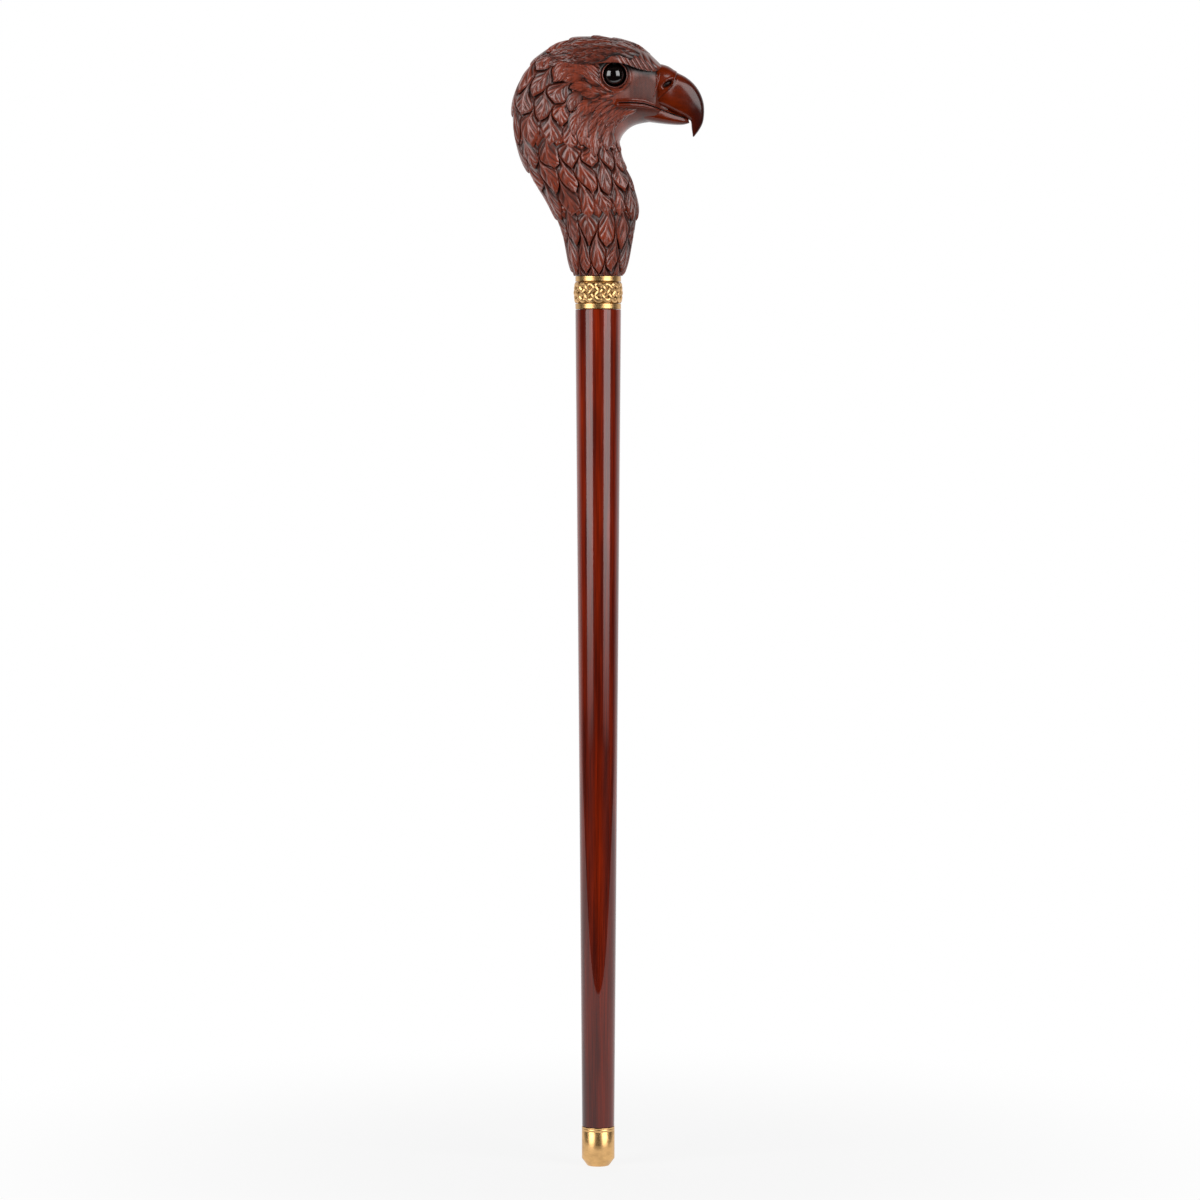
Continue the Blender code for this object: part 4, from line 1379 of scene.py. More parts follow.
@dataclass
class Plumage:
    """Small feathers laid one over another on a side of the head, with sizes in mm.

    Attributes:
        ground: The surface that they lie on.
        facing: How far the surface has to face sideways to carry a feather, from 0 to 1.
        painted_shade_factor: A factor on how free of stain and shade the feathers are; below 1 it paints them
            darker as shade.
    """

    form: HeadForm
    ground: BVHTree
    side: Side
    sunk: float = 0.5
    facing: float = 0.3
    barb_mm: float = 5.5
    barb_turn: float = math.radians(27)
    barb_depth: float = 0.5
    painted_shade_factor: float = 1.0

    def relief(self, leaf: Leaf, s: Array, w: Array) -> tuple[Array, Array]:
        """Shapes one leaf.

        Args:
            leaf: The leaf.
            s: Share of its length at each point of its grid.
            w: Share of its width.

        Returns:
            The height in mm, and how free each point is of stain and painted shade.
        """
        across = np.abs(w)
        swept = s * leaf.length - across**0.9 * leaf.width / 2 / math.tan(self.barb_turn)
        groove = reeds(swept / self.barb_mm + 0.3) ** 1.3
        strength = smoothstep(0.08, 0.3, across) * (1 - smoothstep(0.75, 1.0, across)) * leaf.barbed
        strength = strength * smoothstep(0.15, 0.4, s) * (1 - smoothstep(0.85, 1.0, s))
        edge = smoothstep(0.7, 1.0, np.maximum(across, s**3))
        height = leaf.lift * (0.1 + 0.9 * s) + 0.13 * leaf.width * (1 - w**2) * (1 - 0.7 * s**3)
        height += 0.12 * np.exp(-((across / 0.12) ** 2)) - self.barb_depth * groove * strength
        height -= 0.3 * edge
        # Painted shade: darker in the grooves, at the edges and towards the root, near-black round the rim,
        # and darker overall by the factor.
        unstained_unshaded = (1 - 0.8 * groove * strength) * (1 - edge)
        unstained_unshaded = unstained_unshaded * (0.15 + 0.85 * smoothstep(0.0, 0.5, s)) * self.painted_shade_factor
        for values, rim in ((height, -self.sunk), (unstained_unshaded, 0.0)):
            values[0] = values[-1] = values[:, 0] = values[:, -1] = rim
        return height, unstained_unshaded

    def lay(self, bm: Shape, leaf: Leaf, tone: float) -> None:
        """Lays one leaf, unless it would hang over the edge of the head.

        Args:
            bm: The shape that takes it, with its carve and tone layers.
            leaf: The leaf.
            tone: How red it is, from 0 to 1.
        """
        x, z, s, w = leaf.outline()
        height, unstained_unshaded = self.relief(leaf, s, w)
        feet, tilt = [], Vector()
        for spot in zip(x.ravel(), z.ravel()):
            place, normal = self.form.onto(self.ground, self.side, *spot)
            if place is None or abs(normal.y) < self.facing:
                return
            feet.append(place)
            tilt += normal
        carved, shaded = Eye().sink(np.array(feet), height.reshape(-1, 1) * MM * np.array(tilt.normalized()))
        carve, toned = bm.verts.layers.float[STAIN_AND_SHADE], bm.verts.layers.float[TONE]
        along, across = (size - 1 for size in w.shape)
        grid = bmesh.ops.create_grid(bm, x_segments=across, y_segments=along, size=1.0)["verts"]
        for vert, spot, shade in zip(grid, carved, unstained_unshaded.ravel() * shaded):
            vert.co = spot
            vert[carve] = shade
            vert[toned] = tone
        bmesh.ops.remove_doubles(bm, verts=grid, dist=CARVED_WELD)

    def build(self, shop: Workshop, name: str, leaves: Iterable[Leaf], seed: int) -> None:
        """Lays leaves as one piece, the first ones undermost.

        Args:
            shop: The workshop.
            name: The piece's name.
            leaves: The leaves.
            seed: Seed of their tones.
        """
        draw = np.random.default_rng(seed)
        bm = bmesh.new()
        bm.verts.layers.float.new(STAIN_AND_SHADE)
        bm.verts.layers.float.new(TONE)
        for leaf in leaves:
            self.lay(bm, leaf, draw.random())
        bmesh.ops.holes_fill(bm, edges=[edge for edge in bm.edges if edge.is_boundary], sides=0)
        bmesh.ops.recalc_face_normals(bm, faces=bm.faces)
        shop.finish(bm, name, Surface.CARVED, sharp_degrees=50)


@dataclass
class Face:
    """The small feathers of the face: a fan that streams back from the eye and mouth, and the swept brow.

    Its sizes are in mm, with heights above the neck's foot.

    Attributes:
        lash_turns: Directions in which the first and the last lash stand, and how many there are.
        source: The line that the fan starts from: behind and under the eye, round the mouth, down the throat.
        rise: The fan's direction by the height over the mouth, in degrees up from straight back.
        turning: How fast it turns down behind turn_from, in degrees a mm, at two heights over the mouth.
        rings: Distance from the source, spacing, length, width, lift and whether it is barbed, of each ring.
    """

    form: HeadForm
    mouth: tuple = (13.2, 139.3)
    eye: tuple = (13.2, 160.0)
    lash: float = 14.2
    lash_turns: tuple = (-28, -118, 13)
    source: tuple = (
        (2.2, 166), (1.6, 158), (4.4, 151), (11.5, 147), (12.6, 144), (11.8, 140),
        (12.8, 136.5), (16.5, 134), (23, 133.4), (34, 132),
    )
    rise: tuple = ((-34, -84), (-14, -50), (2.5, -17), (9.7, 30), (20, 44), (30, 40))
    turning: tuple = ((-10, 8), (1.3, 4.2))
    turn_from: float = 20.0
    jaw_turn: float = -16.0
    jaw_from: tuple = (14.0, 30.0)
    stride: float = 0.5
    rings: tuple = (
        (27.0, 11.5, 20, 14.0, 2.0, True),
        (19.0, 9.6, 19, 11.5, 2.0, True),
        (12.0, 7.4, 17, 9.0, 2.1, True),
        (6.0, 5.2, 16, 6.2, 2.0, True),
        (0.6, 3.8, 14, 4.2, 1.7, False),
    )
    brow_leaf: tuple = (7.6, 1.1)
    brow_rows: tuple = (14, 32, 46, 50)
    brow_rise: tuple = ((-48, -30), (-25, -12), (-10, -2), (5, 5), (20, 14), (30, 25), (40, 36), (48, 44))
    seeds: tuple = (5, 9)
    tone_seeds: tuple = (21, 22)

    def flow(self, x: float, z: float) -> float:
        """Direction in which feathers lie at a place.

        Args:
            x: X of the place.
            z: Its height.

        Returns:
            Degrees up from straight back.
        """
        over, behind = z - self.mouth[1], self.mouth[0] - x
        turning = float(np.interp(over, *self.turning))
        turn = float(np.interp(over, *zip(*self.rise))) - turning * max(0.0, behind - self.turn_from)
        return turn + (self.jaw_turn - turn) * float(smoothstep(*self.jaw_from, np.array(x)))

    def stream(self, x: float, z: float, distance: float) -> tuple[float, float]:
        """Follows the feathers' direction from a place.

        Args:
            x: X of the place.
            z: Its height.
            distance: How far.

        Returns:
            X and height of where that leads.
        """
        for _ in range(round(distance / self.stride)):
            turn = math.radians(self.flow(x, z))
            x, z = x - self.stride * math.cos(turn), z + self.stride * math.sin(turn)
        return x, z

    def cheek(self) -> list[Leaf]:
        """The fan behind the eye and mouth, and the lashes.

        Returns:
            The feathers, with the fan's outermost ring first.
        """
        leaves = []
        draw = np.random.default_rng(self.seeds[0])
        starts = resampled(self.source, 60)
        for distance, spacing, length, width, lift, barbed in self.rings:
            ring = np.array([self.stream(x, z, distance) for x, z in starts])
            reach = distances(ring)
            for place in np.arange(0.3 * spacing, reach[-1], spacing):
                x, z = (np.interp(place + spacing * 0.2 * draw.random(), reach, ring[:, i]) for i in (0, 1))
                long = length * (0.8 + 0.45 * draw.random())
                turn = self.flow(x, z)
                ahead = self.flow(*self.stream(x, z, long / 2))
                bend = max(-70.0, min(40.0, 2 * (ahead - turn)))
                leaves.append(Leaf(x, z, turn, bend, long, width, lift, barbed))
        for turn in np.radians(np.linspace(*self.lash_turns)):
            x, z = self.eye[0] + self.lash * math.cos(turn), self.eye[1] + self.lash * math.sin(turn)
            leaves.append(Leaf(x, z, -30 + 6 * draw.random(), 18, 8 + 3 * draw.random(), 2.2, 0.6, False))
        return leaves

    def brow(self) -> list[Leaf]:
        """The swept feathers over the eye.

        Returns:
            The feathers from the back to the front, so that the front ones lie on top.
        """
        leaves = []
        draw = np.random.default_rng(self.seeds[1])
        lows = [(x, edge[1] + 2.4) for x, edge, _ in Brow.sections]
        for i in range(9):
            for j, last in enumerate(self.brow_rows):
                x = -30 + 10.4 * i + 5.2 * (j % 2) + draw.random()
                if x > last:
                    continue
                slope = float(np.interp(x, *zip(*self.brow_rise)))
                z = float(np.interp(x, *zip(*lows))) + j * 4.4 + 0.5 * draw.random()
                long = 19 + 5 * draw.random()
                leaves.append(Leaf(x, z, slope, -0.3 * long - 0.3 * slope, long, *self.brow_leaf))
        return leaves

    def build(self, shop: Workshop, side: Side, brow_ground: BVHTree) -> None:
        """Lays the feathers of one side.

        Args:
            shop: The workshop.
            side: The side of the bird.
            brow_ground: The surface of the brow and the form together.
        """
        cheek_tone, brow_tone = self.tone_seeds
        cheek = Plumage(self.form, search_tree(self.form.skin()), side)
        cheek.build(shop, f"{side.word}_cheek_feathers", self.cheek(), cheek_tone)
        # Painted shade: the brow's feathers, which face up into the light, are darkened by half.
        brow = Plumage(self.form, brow_ground, side, facing=0.12, painted_shade_factor=0.5)
        brow.build(shop, f"{side.word}_brow_feathers", self.brow(), brow_tone)


@dataclass
class Beak:
    """The hooked upper beak with its cere and nostrils, the lower beak, and the lips that run back from it.

    Its sizes are in mm, with heights above the neck's foot.

    Attributes:
        upper: Ridge point, cutting-edge point and half width of each section.
        upper_full: Fullness of the ridge half and the edge half, where 1 is an ellipse and less is squarer.
        cere_front: Height and X of the front edge of the cere, the raised skin at the root of the beak.
        gape: The line between the halves of the beak, from the corner of the mouth.
        loops: Name, distance from the gape, half width, height and end of each lip.
    """

    form: HeadForm
    upper: tuple = (
        ((46.0, 169.0), (43.6, 135.6), 12.4),
        ((49.0, 169.6), (46.8, 135.4), 13.4),
        ((56.0, 167.8), (52.6, 134.2), 12.6),
        ((63.0, 163.4), (58.8, 131.8), 11.0),
        ((70.6, 159.4), (64.4, 129.4), 9.8),
        ((77.2, 153.8), (69.2, 127.4), 8.5),
        ((82.0, 146.8), (72.6, 125.6), 7.2),
        ((84.8, 138.8), (74.4, 124.2), 6.0),
        ((85.3, 130.6), (74.9, 121.6), 4.8),
        ((84.2, 123.0), (75.2, 118.4), 3.6),
        ((81.2, 117.0), (75.8, 114.6), 2.3),
        ((77.2, 111.8), (76.2, 111.6), 0.7),
    )
    upper_full: tuple = (0.82, 0.62)
    upper_net: tuple = (150, 120)
    lower: tuple = (
        ((34.0, 139.0), (33.0, 124.4), 15.5),
        ((44.0, 138.0), (44.0, 123.0), 12.2),
        ((54.0, 134.4), (54.0, 121.8), 9.8),
        ((62.0, 131.0), (62.0, 121.2), 7.6),
        ((68.0, 128.6), (68.4, 121.3), 5.4),
        ((72.6, 126.0), (73.4, 122.6), 2.2),
    )
    lower_full: tuple = (0.8, 0.8)
    lower_net: tuple = (60, 80)
    cere_front: tuple = ((136, 42), (141, 47), (148, 55.5), (155, 60.5), (162.8, 63.1), (172, 64))
    cere_lift: float = 0.45
    cere_rim: float = 0.25
    nostril: tuple = (56.0, 153.6)
    nostril_half: tuple = (5.0, 2.2)
    nostril_slant: float = math.radians(35)
    nostril_depth: float = 3.2
    nostril_rim: float = 0.5
    gape: tuple = ((16.3, 137.6), (26, 138), (36, 137.4), (45, 135), (54, 131.4), (62, 128.8), (70, 126.4))
    gape_bead: tuple = (0.75, 0.3)
    loops: tuple = (("outer_lip", 2.2, 1.35, 0.75, 58.0), ("inner_lip", 0.95, 0.5, 0.7, 71.0))
    lip_back: float = 30
    cere_back: tuple = ((49.8, 167.0), (48.8, 160.0), (47.0, 152.5), (45.2, 145.5), (43.2, 141.2))
    cere_bead: tuple = (1.1, 0.8)

    def rings(self, sections: tuple, full: tuple[float, float], stations: int, around: int) -> Array:
        """Points of a beak's smooth shape.

        Args:
            sections: Its sections.
            full: Fullness at the ridge and at the edge.
            stations: Rings along it.
            around: Points round each ring.

        Returns:
            The rings.
        """
        values = np.array([(*ridge, *edge, half) for ridge, edge, half in sections]) * MM
        controls = hermite(range(len(sections)), values, np.linspace(0, len(sections) - 1, stations))
        foot = self.form.bottom
        return np.stack([oval(control[:4], foot, control[4], full, around) for control in controls])

    def build(self, shop: Workshop) -> None:
        """Carves both halves of the beak and the lips.

        Args:
            shop: The workshop.
        """
        upper = self.rings(self.upper, self.upper_full, *self.upper_net)
        carved, unstained_unshaded = self.carve_upper(upper)
        shop.finish(lofted(carved, carve=unstained_unshaded), "upper_beak", Surface.AMBER)
        lower = self.rings(self.lower, self.lower_full, *self.lower_net)
        shop.finish(lofted(lower), "lower_beak", Surface.AMBER)
        ground = search_tree(self.form.skin(), upper, lower)
        beads = [(name, *self.loop(gap, end), (wide, high), 1.0) for name, gap, wide, high, end in self.loops]
        fading = np.sin(np.linspace(0.25, math.pi - 0.1, 24))
        beads.append(("cere_rim", resampled(self.cere_back, 24), fading, self.cere_bead, 1.0))
        # Painted shadow: the gape is a near-black bar along the mouth line, where the slit lies in shade.
        beads.append(("gape", resampled(self.gape, 50), np.ones(50), self.gape_bead, 0.0))
        for side in Side:
            for name, path, taper, (wide, high), unstained_unshaded in beads:
                bm = self.bead(ground, side, path, wide * taper, high * taper, unstained_unshaded)
                shop.finish(bm, f"{side.word}_{name}", Surface.AMBER)

    def carve_upper(self, rings: Array) -> tuple[Array, Array]:
        """Raises the cere and its rim and sinks the nostrils.

        Args:
            rings: The smooth beak.

        Returns:
            The carved rings, and how free each point is of painted shade, which darkens the nostrils and a
            line along the cere's front edge.
        """
        normals = net_normals(rings, 1e-12)
        middle = rings.mean(axis=1, keepdims=True)
        normals *= np.sign(np.sum(normals * (rings - middle), axis=2, keepdims=True))
        x, z = self.form.side_view(rings)
        behind = np.interp(z, *zip(*self.cere_front)) - x
        lift = self.cere_lift * MM * smoothstep(-0.5, 0.5, behind)
        lift += self.cere_rim * MM * np.exp(-(((behind - 0.8) / 0.8) ** 2))
        turn_x, turn_z = x - self.nostril[0], z - self.nostril[1]
        cosine, sine = math.cos(self.nostril_slant), math.sin(self.nostril_slant)
        u = (turn_x * cosine + turn_z * sine) / self.nostril_half[0]
        v = (turn_z * cosine - turn_x * sine) / self.nostril_half[1]
        distance = np.sqrt(u * u + v * v)
        hole = 1 - smoothstep(0.7, 1.1, distance)
        rim = np.exp(-(((distance - 1.35) / 0.25) ** 2))
        lift += self.nostril_rim * MM * rim - self.nostril_depth * MM * hole
        # Painted shade in the nostrils and in a line at the foot of the cere's front edge.
        notch = np.exp(-(((behind + 0.7) / 0.5) ** 2))
        return rings + normals * lift[..., None], (1 - 0.95 * hole) * (1 - 0.6 * notch)

    def loop(self, gap: float, end: float) -> tuple[Array, Array]:
        """A path along the gape's upper edge, round its back end and forward along its lower edge.

        Args:
            gap: Distance from the gape's middle.
            end: X at which both ends of the path have tapered away.

        Returns:
            The path, and how thick it is at each point, from 0 to 1.
        """
        line = np.array(self.gape)
        xs = np.linspace(end, line[0, 0], 60)
        middle = np.interp(xs, line[:, 0], line[:, 1])
        closing = gap * (1 - 0.7 * smoothstep(35, end, xs))
        turn = np.linspace(math.pi / 2, 3 * math.pi / 2, 16)[1:-1]
        corner = np.stack([line[0, 0] + gap * np.cos(turn), line[0, 1] + gap * np.sin(turn)], axis=1)
        upper = np.stack([xs, middle + closing], axis=1)
        lower = np.stack([xs, middle - closing], axis=1)[::-1]
        path = np.concatenate([upper, corner, lower])
        return path, 1 - 0.85 * smoothstep(self.lip_back, end, path[:, 0])

    def bead(
        self, ground: BVHTree, side: Side, path: Array, wide: Array, high: Array, unstained_unshaded: float
    ) -> Shape:
        """Lays a rounded bar along a path on a side of the head.

        Args:
            ground: The surfaces that it lies on.
            side: The side of the bird.
            path: X and height of its points.
            wide: Half its width at each point.
            high: How far it stands out there.
            unstained_unshaded: How free it is of painted shade; 0 makes it near-black.

        Returns:
            The closed bar.
        """
        spots = [self.form.onto(ground, side, x, z) for x, z in path]
        turns = np.linspace(0, math.tau, 18, endpoint=False)
        rings = []
        for i, (point, lift) in enumerate(spots):
            along = (spots[min(i + 1, len(spots) - 1)][0] - spots[max(i - 1, 0)][0]).normalized()
            across = along.cross(lift).normalized() * wide[i] * MM
            out = across.cross(along).normalized() * high[i] * MM
            rings.append([point + across * math.cos(turn) + out * math.sin(turn) for turn in turns])
        net = np.array(rings)
        return lofted(net, carve=np.full(net.shape[:2], unstained_unshaded))


@dataclass
class Eye:
    """A glass dome in a carved lid, and the socket that it sits in.

    Attributes:
        hollow: Distance from the eye's axis and height of the socket's floor, in mm.
        near: Height over the lid's plane from which wood belongs to this eye.
        shade_up: How far over the eye the middle of its shadow lies.
        rim: Radii between which the feathers' relief fades in.
        lid: Distance out from the glass, height and how free of painted shade, of each point of the lid, in
            mm; it is dark in the groove at the glass and in the valley outside.
    """

    radius: float = 9.3 * MM
    dome: float = 4.2 * MM
    seat: float = 0.4 * MM
    sides: int = 96
    hollow: tuple = (
        (0, -6.0), (9.9, -6.0), (10.6, -0.9), (11.6, -0.1),
        (12.8, 1.6), (14.5, 4.6), (17.0, 9.5), (19.0, 14.0),
    )
    soften: float = 0.9 * MM
    near: float = -8 * MM
    shade_up: float = 4.5 * MM
    shade: tuple = (10.5 * MM, 13.5 * MM)
    rim: tuple = (10.9 * MM, 12.6 * MM)
    lid: tuple = (
        (0.0, -5.0, 0.0), (0.0, 0.1, 0.0), (0.1, 0.5, 0.4), (0.3, 0.75, 1.0), (0.55, 0.75, 1.0),
        (0.8, 0.45, 0.9), (1.0, -0.2, 0.1), (1.3, -0.9, 0.0), (1.9, -1.4, 0.0), (2.4, -5.0, 0.0),
    )
    clearance: float = 0.3 * MM
    x: float = 13.2 * MM
    above_foot: float = 160 * MM
    from_middle: float = 22.6 * MM
    forward_tilt: float = math.radians(13)

    def place(self, side: Side) -> Matrix:
        """The matrix whose Z axis points out of the eye.

        Args:
            side: The side of the bird.

        Returns:
            The matrix, with its origin in the plane of the lid's rim.
        """
        look = Vector((math.sin(self.forward_tilt), side.value * math.cos(self.forward_tilt), 0))
        turn = look.to_track_quat("Z", "Y").to_matrix().to_4x4()
        middle = (self.x, side.value * self.from_middle, HeadForm.bottom + self.above_foot)
        return Matrix.Translation(middle) @ turn

    def sink(self, points: Array, relief: Array) -> tuple[Array, Array]:
        """Hollows both eye sockets in points of the carved wood, and lays the carving's relief on them.

        Args:
            points: The points of the smooth wood, with X, Y and Z last.
            relief: How far the carving moves each, which fades out at the lids.

        Returns:
            The points, pushed in along the eye's axis where they stood over the socket, and how free they are
            there of the painted shadow round the eye, which is centred above it, under the brow.
        """
        flat, move = points.reshape(-1, 3), relief.reshape(-1, 3)
        unstained_unshaded = np.ones(len(flat))
        away, height = np.array(self.hollow).T * MM
        for side in Side:
            place = np.array(self.place(side))
            axis, seen = place[:3, 2], flat - place[:3, 3]
            out = seen @ axis
            level = seen - out[:, None] * axis
            across = np.linalg.norm(level, axis=1)
            near = out > self.near
            over = out - np.interp(across, away, height)
            deep = np.where(near & (across < away[-1]), (over + np.hypot(over, self.soften)) / 2, 0)
            flat = flat - deep[:, None] * axis
            move = move * np.where(near, smoothstep(*self.rim, across), 1.0)[:, None]
            # Painted shadow: darkens the wood round the eye, centred above it, under the brow.
            level[:, 2] -= self.shade_up
            shadow = smoothstep(*self.shade, np.linalg.norm(level, axis=1))
            unstained_unshaded = np.where(near, np.minimum(unstained_unshaded, shadow), unstained_unshaded)
        return (flat + move).reshape(points.shape), unstained_unshaded.reshape(points.shape[:-1])

    def build(self, shop: Workshop, side: Side) -> None:
        """Makes the glass and its lid on one side.

        Args:
            shop: The workshop.
            side: The side of the bird.
        """
        middle = self.dome - self.radius
        ball = [(0, middle - self.seat), (self.radius, middle - self.seat)]
        for turn in np.linspace(0, math.pi / 2, 28):
            ball.append((self.radius * math.cos(turn), middle + self.radius * math.sin(turn)))
        ball[-1] = (0, self.dome)
        bm = turned(ball, self.sides)
        bm.transform(self.place(side))
        shop.finish(bm, f"{side.word}_eye_glass", Surface.GLASS, replaces=(f"{side.word}_eye",))
        inner = self.radius + self.clearance
        bm = turned([(inner + out * MM, up * MM) for out, up, _ in self.lid], self.sides, closed=True)
        carve = bm.verts.layers.float.new(STAIN_AND_SHADE)
        # Painted shade on the lid: dark in the groove at the glass and in the valley outside it.
        for vert in bm.verts:
            out = (math.hypot(vert.co.x, vert.co.y) - inner) / MM
            nearest = min(self.lid, key=lambda spot: math.hypot(spot[0] - out, spot[1] - vert.co.z / MM))
            vert[carve] = nearest[2]
        bm.transform(self.place(side))
        shop.finish(bm, f"{side.word}_lid", Surface.CARVED)


@dataclass
class PlaitedCollar:
    """The brass collar: two turned rims, and a cast band with a plait of four strands, on a sleeve.

    Attributes:
        ground_depth: How far the ground between the strands lies under the barrel.
        first_arc: Angle at which the first strand is highest.
    """

    bottom: float = 695.6 * MM
    height: float = 26.5 * MM
    clearance: float = 0.3 * MM
    sleeve_radius: float = 16.2 * MM
    rim_height: float = 4.4 * MM
    rim_radius: float = 18.4 * MM
    rim_break: float = 0.45 * MM
    waist_depth: float = 0.06 * MM
    waist_half: float = 1.2 * MM
    band_radius: float = 18.05 * MM
    crown: float = 0.5 * MM
    ground_depth: float = 0.15 * MM
    strands: int = 4
    waves: int = 4
    wave_steps: int = 64
    wave_fullness: float = 0.06
    first_arc: float = math.radians(-88.5)
    under: float = -0.35 * MM
    over: float = 0.5 * MM
    strand_half: float = 2.1 * MM
    strand_height: float = 0.85 * MM
    strand_foot: float = 1.0 * MM

    def barrel(self, height: Array) -> Array:
        """Radius of the band's ground.

        Args:
            height: Heights on the band.

        Returns:
            The radius at each.
        """
        middle = self.bottom + self.height / 2
        half = self.height / 2 - self.rim_height - self.clearance
        return self.band_radius + self.crown * (1 - ((height - middle) / half) ** 2)

    def build(self, shop: Workshop) -> None:
        """Turns the rims and the band and lays the plait.

        Args:
            shop: The workshop.
        """
        bore = self.sleeve_radius + self.clearance
        top = self.bottom + self.height
        for name, low in (("lower_rim_ring", self.bottom), ("upper_rim_ring", top - self.rim_height)):
            high = low + self.rim_height
            waist = (low + high) / 2
            ring = [
                (bore, high),
                (bore, low),
                (self.rim_radius, low),
                (self.rim_radius, waist - self.waist_half),
                (self.rim_radius - self.waist_depth, waist),
                (self.rim_radius, waist + self.waist_half),
                (self.rim_radius, high),
            ]
            bm = turned(broken(ring, self.rim_break, (2, 6)), closed=True)
            shop.finish(bm, f"{name}_turned", Surface.BRASS, Body.SHAFT, (name,), 30)
        low, high = self.bottom + self.rim_height + self.clearance, top - self.rim_height - self.clearance
        ground = [(bore, high), (bore, low)]
        ground += [(float(self.barrel(z)) - self.ground_depth, z) for z in np.linspace(low, high, 13)]
        bm = turned(ground, closed=True)
        bm.verts.layers.float.new(STAIN_AND_SHADE)
        shop.finish(bm, "band_ground", Surface.CAST, Body.SHAFT, ("braid_band",), 30)
        for strand in range(self.strands):
            self.lay_strand(shop, strand)
        shop.dress("collar_sleeve", Surface.CAST)

    def path(self, angle: Array, strand: int) -> tuple[Array, Array]:
        """Where a strand's middle is.

        Args:
            angle: Angles round the collar, in radians.
            strand: Number of the strand.

        Returns:
            Its heights, and how far it is lifted as it goes over and under the others.
        """
        reach = self.height / 2 - self.rim_height - self.clearance - self.strand_half
        phase = (angle - self.first_arc) * self.waves - math.tau * strand / self.strands
        wave = (np.cos(phase) + self.wave_fullness * np.cos(3 * phase)) / (1 + self.wave_fullness)
        over = -np.cos(4 * phase) * np.clip(1.5 * np.sin(phase), -1, 1)
        lift = self.under + (self.over - self.under) * (1 + over) / 2
        return self.bottom + self.height / 2 + reach * wave, lift

    def lay_strand(self, shop: Workshop, strand: int) -> None:
        """Lays one strand of the plait once round the band.

        Args:
            shop: The workshop.
            strand: Number of the strand.
        """
        angle = np.linspace(0, math.tau, self.waves * self.wave_steps, endpoint=False)
        heights, lifts = self.path(angle, strand)
        ahead, _ = self.path(angle + 1e-3, strand)
        back, _ = self.path(angle - 1e-3, strand)
        ground = self.barrel(heights)
        along = np.stack([ground * 2e-3, ahead - back], axis=1)
        along /= np.linalg.norm(along, axis=1, keepdims=True)
        share = np.concatenate([[-1.0], np.linspace(-1, 1, 15), [1.0]])
        sideways = share * self.strand_half
        out = self.strand_height * (1 - np.abs(share) ** 1.7)
        out[[0, -1]] = -self.strand_foot
        z = heights[:, None] + along[:, :1] * sideways
        turn = angle[:, None] - along[:, 1:] * sideways / ground[:, None]
        radius = self.barrel(z) + lifts[:, None] + out
        rings = np.stack([radius * np.cos(turn), radius * np.sin(turn), z], axis=2)
        bright = np.broadcast_to(1 - np.abs(share) ** 2.5, radius.shape)
        shades = bright * (0.7 + 0.3 * (lifts[:, None] - self.under) / (self.over - self.under))
        bm = lofted(rings, closed=True, carve=shades)
        shop.finish(bm, f"plait_strand_{strand + 1}", Surface.CAST, Body.SHAFT, sharp_degrees=70)


